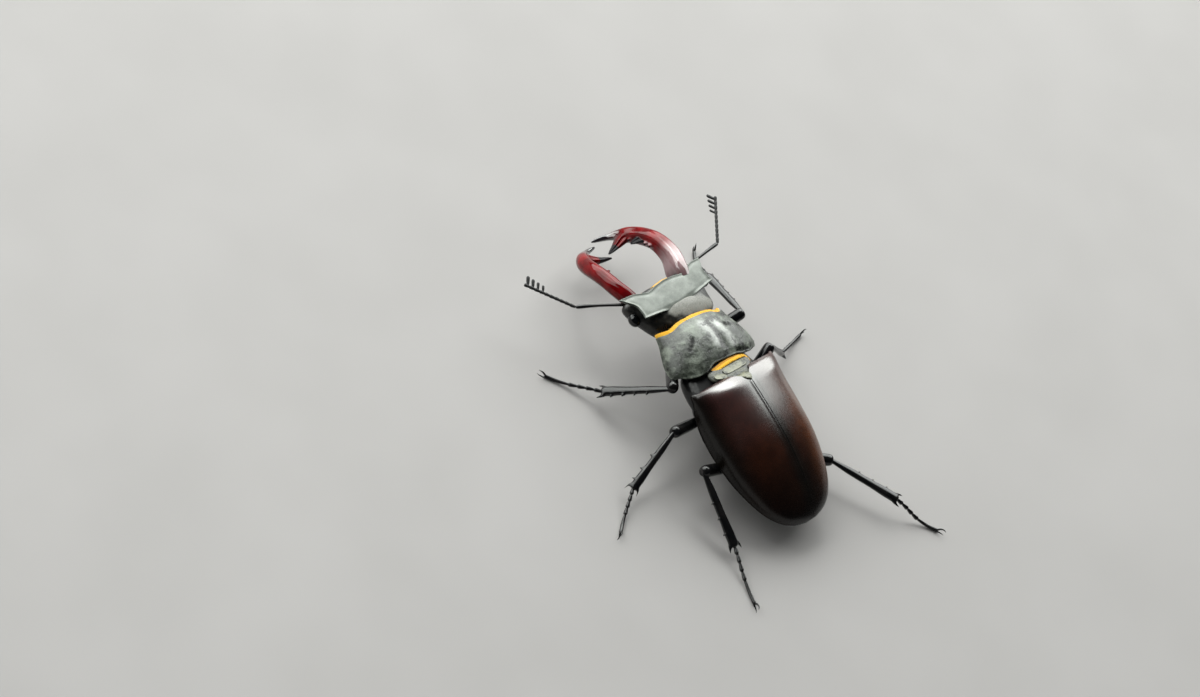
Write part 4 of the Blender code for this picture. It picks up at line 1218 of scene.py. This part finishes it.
def leg_joints(pair, side):
    """Hip, knee, ankle and toe of a leg over the floor."""
    x, y, z = HIPS[pair]
    lean = Matrix.Rotation(math.radians(-NOSE_UP), 3, "X")
    hip = lean @ Vector((x if side == "left" else -x, y, z)) + Vector((0, 0, SHOULDER_HEIGHT))
    thigh, shin, foot = SEGMENTS[pair]
    thigh_turn, thigh_rise, shin_turn, shin_rise, foot_turn = POSES[pair + "_" + side]
    knee = hip + thigh * heading(thigh_turn, thigh_rise)
    ankle = knee + shin * heading(shin_turn, shin_rise)
    drop = math.degrees(math.asin(ankle.z / foot))
    return hip, knee, ankle, ankle + foot * heading(foot_turn, -drop)


def thigh_pattern(length):
    """Swollen thigh with a pinched root and a forked, rounded knee end."""
    piece = grow_limb("thigh_pattern", (
        (0.0, 0.3, 0.35), (0.02, 0.48, 0.55), (0.08, 0.68, 0.8), (0.16, 0.84, 0.98),
        (0.28, 0.98, 1.12), (0.42, 1.06, 1.2), (0.56, 1.1, 1.24), (0.7, 1.1, 1.24),
        (0.82, 1.12, 1.24), (0.9, 1.14, 1.24), (0.955, 1.08, 1.16), (0.985, 0.86, 0.94),
        (1.0, 0.45, 0.5)), length)
    edit()
    bpy.ops.mesh.select_mode(type="FACE")
    pick_faces(lambda spot, normal: spot.y > 0.9 * length and normal.z < -0.7)
    bpy.ops.mesh.inset(thickness=0.12, depth=-0.14)
    done()
    smooth(piece, 2)
    return piece


def shin_pattern(pair, length):
    """Shin that widens to its end, with a row of outer teeth and two spurs."""
    steps = 34
    girths = [(0.0, 0.22, 0.22), (0.012, 0.38, 0.38)]
    broad = {"fore": 1.0, "middle": 0.86, "hind": 1.0}[pair]
    rows = [(share, broad * girth) for share, girth in SHIN_GIRTH]
    for i in range(steps):
        share = 0.03 + 0.93 * i / (steps - 1)
        girths.append((share, value_at(rows, share), 0.74 * value_at(rows, share)))
    girths += [(0.985, 0.7, 0.66), (1.0, 0.45, 0.42)]
    piece = grow_limb("shin_pattern", girths, length, sides=12)
    edit()
    bpy.ops.mesh.select_mode(type="FACE")
    for share in SHIN_TEETH[pair]:
        wide = value_at(rows, share)
        root = Vector((wide, share * length, 0.0))
        draw_out(root, 0.3, [(root + Vector((0.12, 0.06, 0)), 0.75),
                             (root + Vector((0.42, 0.2, 0)), 0.3)])
    for way in (1.0, -1.0):
        root = Vector((0.86 * broad * way, 0.955 * length, 0.0))
        draw_out(root, 0.42, [(root + Vector((0.25 * way, 0.3, 0)), 0.7),
                              (root + Vector((0.42 * way, 0.75, 0)), 0.65),
                              (root + Vector((0.5 * way, 1.25, -0.05)), 0.25)])
    done()
    smooth(piece, 1)
    return piece


def foot_pattern(length):
    """Foot of five flared joints with a long claw joint and two hooked claws."""
    girths = []
    for i, (start, end) in enumerate(zip(FOOT_JOINTS, FOOT_JOINTS[1:])):
        span = end - start
        last = i == len(FOOT_JOINTS) - 2
        flare = 0.40 if last else 0.46
        girths += [(start + 0.004, 0.2, 0.2), (start + 0.02, 0.27, 0.27),
                   (start + 0.3 * span, 0.31, 0.31),
                   (start + 0.72 * span, flare - 0.06, flare - 0.08),
                   (end - 0.024, flare, flare - 0.05), (end - 0.01, flare - 0.06, flare - 0.12)]
    girths.append((1.0, 0.12, 0.12))
    stem = grow_limb("foot_pattern", girths, length * 0.97, sides=12)
    smooth(stem, 1)
    parts = [stem]
    for way in (1.0, -1.0):
        claw = grow_limb("claw", ((0.0, 0.16, 0.16), (0.08, 0.22, 0.22), (0.4, 0.17, 0.19),
                                  (0.75, 0.1, 0.12), (0.95, 0.04, 0.05), (1.0, 0.015, 0.015)),
                         1.9, sides=10)
        smooth(claw, 1)
        root = length * 0.955
        bend(claw, ((0.16 * way, root, 0.0), (0.6 * way, root + 0.35, 0.05),
                    (0.9 * way, root + 0.95, 0.0), (0.72 * way, root + 1.5, -0.22)), 16)
        parts.append(claw)
    return join("foot_pattern", parts)


def hip(pair, side):
    """Rounded hip joint across the underside."""
    x, y, z = HIPS[pair]
    outer, inner = Vector((x - 0.3, y, z)), Vector((0.6, y, z - 0.1))
    piece = grow_limb("hip_" + pair + "_" + side, (
        (0.0, 0.3, 0.3), (0.06, 0.7, 0.65), (0.2, 1.0, 0.92), (0.45, 1.12, 1.02),
        (0.7, 1.1, 1.0), (0.9, 0.85, 0.78), (0.98, 0.55, 0.5), (1.0, 0.3, 0.3)),
        (outer - inner).length)
    smooth(piece, 1)
    move_to(piece, along(inner, outer))
    settle(piece, TRUNK, SATIN_BLACK, ["coxa_" + pair + "_" + side], side=side)


def legs():
    """Model the thigh, shin and foot once for each pair and stand them in their poses."""
    for pair in PAIRS:
        thigh_length, shin_length, foot_length = SEGMENTS[pair]
        patterns = (thigh_pattern(thigh_length * 0.955 + 0.35),
                    shin_pattern(pair, shin_length + 0.35), foot_pattern(foot_length))
        for side in SIDES:
            limb = "_" + pair + "_" + side
            hip(pair, side)
            root, knee, ankle, toe = leg_joints(pair, side)
            thigh, shin, foot = [copy_of(pattern, name + limb) for pattern, name in
                                 zip(patterns, ("thigh", "shin", "foot"))]
            if (pair == "fore") != (side == "right"):
                mirror(shin)
            stand_foot(foot, ankle, toe)
            for piece, node, start, end in (
                    (thigh, "femur", root.lerp(knee, 0.045), knee),
                    (shin, "tibia", knee - (ankle - knee).normalized() * 0.2, ankle),
                    (foot, "tarsus", (ankle.x, ankle.y, 0), (toe.x, toe.y, 0))):
                settle(piece, STAND @ along(start, end), BLACK, [node + limb])
        remove(*patterns)


def stand_foot(piece, ankle, toe):
    """Arch a straight foot down from the ankle and flatten its sole on the floor."""
    reach = math.hypot(toe.x - ankle.x, toe.y - ankle.y)
    fall = ankle.z - FOOT_REST
    line = [(0, share * reach, FOOT_REST + part * fall) for share, part in (
        (-0.02, 1.02), (0.2, 0.72), (0.35, 0.46), (0.5, 0.22), (0.65, 0.07), (0.8, 0.0), (1.0, 0.0),
        (1.12, 0.0), (1.25, 0.0))]
    bend(piece, line, 40)
    edit()
    pick(lambda spot: spot.z < 0.03)
    resize((1.0, 1.0, 0.0))
    done()


# ---- Hair ----
def coat(name, roots, lock):
    """Join many copies of a lock into one golden coat.

    A root is (place, tip direction, rise, length, width, u, v). The lock is turned along its
    direction with its back to the rise, and droops to its tip. Its map is a small patch at (u, v).
    """
    patch = 0.003
    shape = [vert.co.copy() for vert in lock.data.vertices]
    faces = [tuple(face.vertices) for face in lock.data.polygons]
    long = max(spot.y for spot in shape)
    places, polygons, reaches, marks = [], [], [], []
    for place, ahead, rise, length, width, u, v in roots:
        turned = along((0, 0, 0), ahead, rise)
        first = len(places)
        for spot in shape:
            share = spot.y / long
            droop = 0.16 * length * share ** 2
            bent = Vector((spot.x * width, spot.y * length, spot.z * width - droop))
            places.append(Vector(place) + turned @ bent)
            reaches.append(share)
            marks.append((u + patch * (spot.x + 0.5), v + patch * share))
        polygons += [tuple(first + corner for corner in face) for face in faces]
    mesh = bpy.data.meshes.new(name)
    mesh.from_pydata(places, [], polygons)
    mesh.update()
    piece = add_object(name, mesh)
    reach = mesh.attributes.new("reach", "FLOAT", "POINT")
    reach.data.foreach_set("value", reaches)
    map_of_roots = mesh.uv_layers.new(name="OFBake")
    for loop in mesh.loops:
        map_of_roots.data[loop.index].uv = marks[loop.vertex_index]
    settle(piece, Matrix.Identity(4), GOLD_HAIR)


def front_root(share, row):
    """Lock that stands out from under the front of the thorax shield."""
    turn = 180.0 * share
    reach = shield_reach(turn)
    side = math.cos(math.radians(turn)) * reach
    rise = math.sin(math.radians(turn)) * reach
    half_width, top, margin = SHIELD_HALF_WIDTH[0][1], SHIELD_TOP[0][1], SHIELD_MARGIN[0][1]
    place = Vector((half_width * 0.94 * side,
                    value_at(SHIELD_FRONT_EDGE, abs(side)) + 0.1 + 0.1 * row,
                    margin + (top - margin) * 0.94 * rise - 0.34 + 0.12 * row))
    return (place, Vector((0.15 * side, -1.0, 0.02)), Vector((side, 0.0, rise + 0.2)),
            0.99 * share, 0.3 + 0.2 * row)


def back_root(share, row):
    """Lock behind the thorax shield, where the row curls back at its right end."""
    across = 2.0 * share - 1.0
    curl = max(0.0, -across - 0.72) / 0.28
    place = Vector((4.4 * across - 0.9 + 0.3 * curl,
                    -2.9 + 0.25 * row + 0.35 * across * across + 1.1 * curl * curl,
                    4.5 - 0.55 * across * across + 0.14 * row))
    return place, Vector((0.0, 1.0, 0.26)), Vector((0, 0, 1)), 0.98 * share, 0.4 + 0.2 * row


def mouth_root(share, row):
    """Lock under the front edge of the head, between the jaws."""
    x = -1.5 + 6.6 * share
    place = Vector((x, value_at(PLATEAU_FRONT, abs(x)) + 0.45, 1.3 - 0.12 * row))
    return place, Vector((0.0, -1.0, 0.0)), Vector((0, 0, 1)), 0.99 * share, 0.3 + 0.2 * row


# Fringes: (name, part, locks in a row, rows, stray across and up, least and added length, root)
FRINGES = (
    ("golden_front_fringe", PROTHORAX, 1500, 3, (0.24, 0.16), (0.68, 0.18), front_root),
    ("golden_back_fringe", TRUNK, 1100, 2, (0.15, 0.2), (0.62, 0.2), back_root),
    ("golden_mouth_fringe", SKULL, 320, 2, (0.3, 0.3), (0.58, 0.2), mouth_root))


def fringes():
    """Golden hair in front of the thorax shield, behind it and at the mouth."""
    chance = random.Random(7)
    lock = grow_limb("hair_lock", ((0.0, 0.05, 0.03), (0.25, 0.045, 0.025),
                                   (0.75, 0.03, 0.0175), (1.0, 0.0075, 0.005)), 1.0, sides=4)
    for name, part, count, rows, stray, lengths, root_at in FRINGES:
        turned = part.to_3x3().normalized()
        roots = []
        for i in range(count):
            for row in range(rows):
                place, ahead, rise, u, v = root_at((i + chance.random()) / count, row)
                ahead.x += stray[0] * (chance.random() - 0.5)
                ahead.z += stray[1] * (chance.random() - 0.5)
                length = lengths[0] + lengths[1] * chance.random()
                width = 0.8 + 0.5 * chance.random()
                roots.append((part @ place, (turned @ ahead).normalized(), turned @ rise,
                              length * MM, width * MM, u, v))
        coat(name, roots, lock)
    remove(lock)


# ---- The beetle ----
def beetle():
    """Model the whole beetle from rear to front."""
    for side in SIDES:
        wing_case(side)
        eye(side)
        jaw(side)
        palp(side)
        antenna(side)
    thorax_shield()
    waist()
    scutellum_plate()
    head_capsule()
    plateau()
    labrum_plate()
    for name, node in (("belly", "abdomen"), ("fore_breast", "prosternum"),
                       ("middle_breast", "metathorax")):
        breast(name, node)
    legs()
    fringes()


# ---- Studio ----
def studio_floor():
    """Wide pale floor."""
    floor = new_piece("studio_floor", "plane", size=6.0)
    floor.data.materials.append(floor_finish())


def softbox(name, azimuth, elevation, width, height, strength):
    """Large soft lamp that looks at the beetle from a little under a metre away."""
    lamp = bpy.data.lights.new(name, "AREA")
    lamp.shape = "RECTANGLE"
    lamp.size, lamp.size_y = width, height
    lamp.energy = strength * width * height * math.pi
    lamp.color = LAMP_COLOUR
    holder = add_object(name, lamp)
    away = heading(azimuth, elevation)
    holder.location = away * LAMP_DISTANCE
    holder.rotation_euler = away.to_track_quat("Z", "Y").to_euler()


def lighting():
    """A wide soft window of light in front and at the left, in an otherwise dark room."""
    softbox("left_softbox", -150, 34, 0.97, 1.0, 5.4)
    softbox("front_softbox", -93, 33, 0.95, 0.95, 5.4)
    softbox("right_softbox", -45, 28, 0.5, 0.7, 3.8)
    room = bpy.data.worlds.new("room")
    room.use_nodes = True
    glow = room.node_tree.nodes["Background"].inputs
    glow["Color"].default_value = (0.85, 0.93, 1.0, 1.0)
    glow["Strength"].default_value = 0.04
    bpy.context.scene.world = room


def camera():
    """Camera above the beetle's left rear, looking down along it."""
    lens = bpy.data.cameras.new("camera")
    lens.lens = CAMERA_LENS
    lens.sensor_width = CAMERA_SENSOR
    lens.clip_start = 0.01
    holder = add_object("camera", lens)
    place, target = Vector(CAMERA_PLACE), Vector(CAMERA_TARGET)
    view = (target - place).normalized()
    right = view.cross(Vector((0, 0, 1))).normalized()
    rise = right.cross(view)
    roll = math.radians(CAMERA_ROLL)
    up = math.cos(roll) * rise + math.sin(roll) * right
    side = view.cross(up).normalized()
    turned = Matrix((side, up, -view)).transposed().to_4x4()
    holder.matrix_world = Matrix.Translation(place * MM) @ turned
    bpy.context.scene.camera = holder


beetle()
studio_floor()
lighting()
camera()
bpy.context.scene.view_settings.view_transform = "Standard"
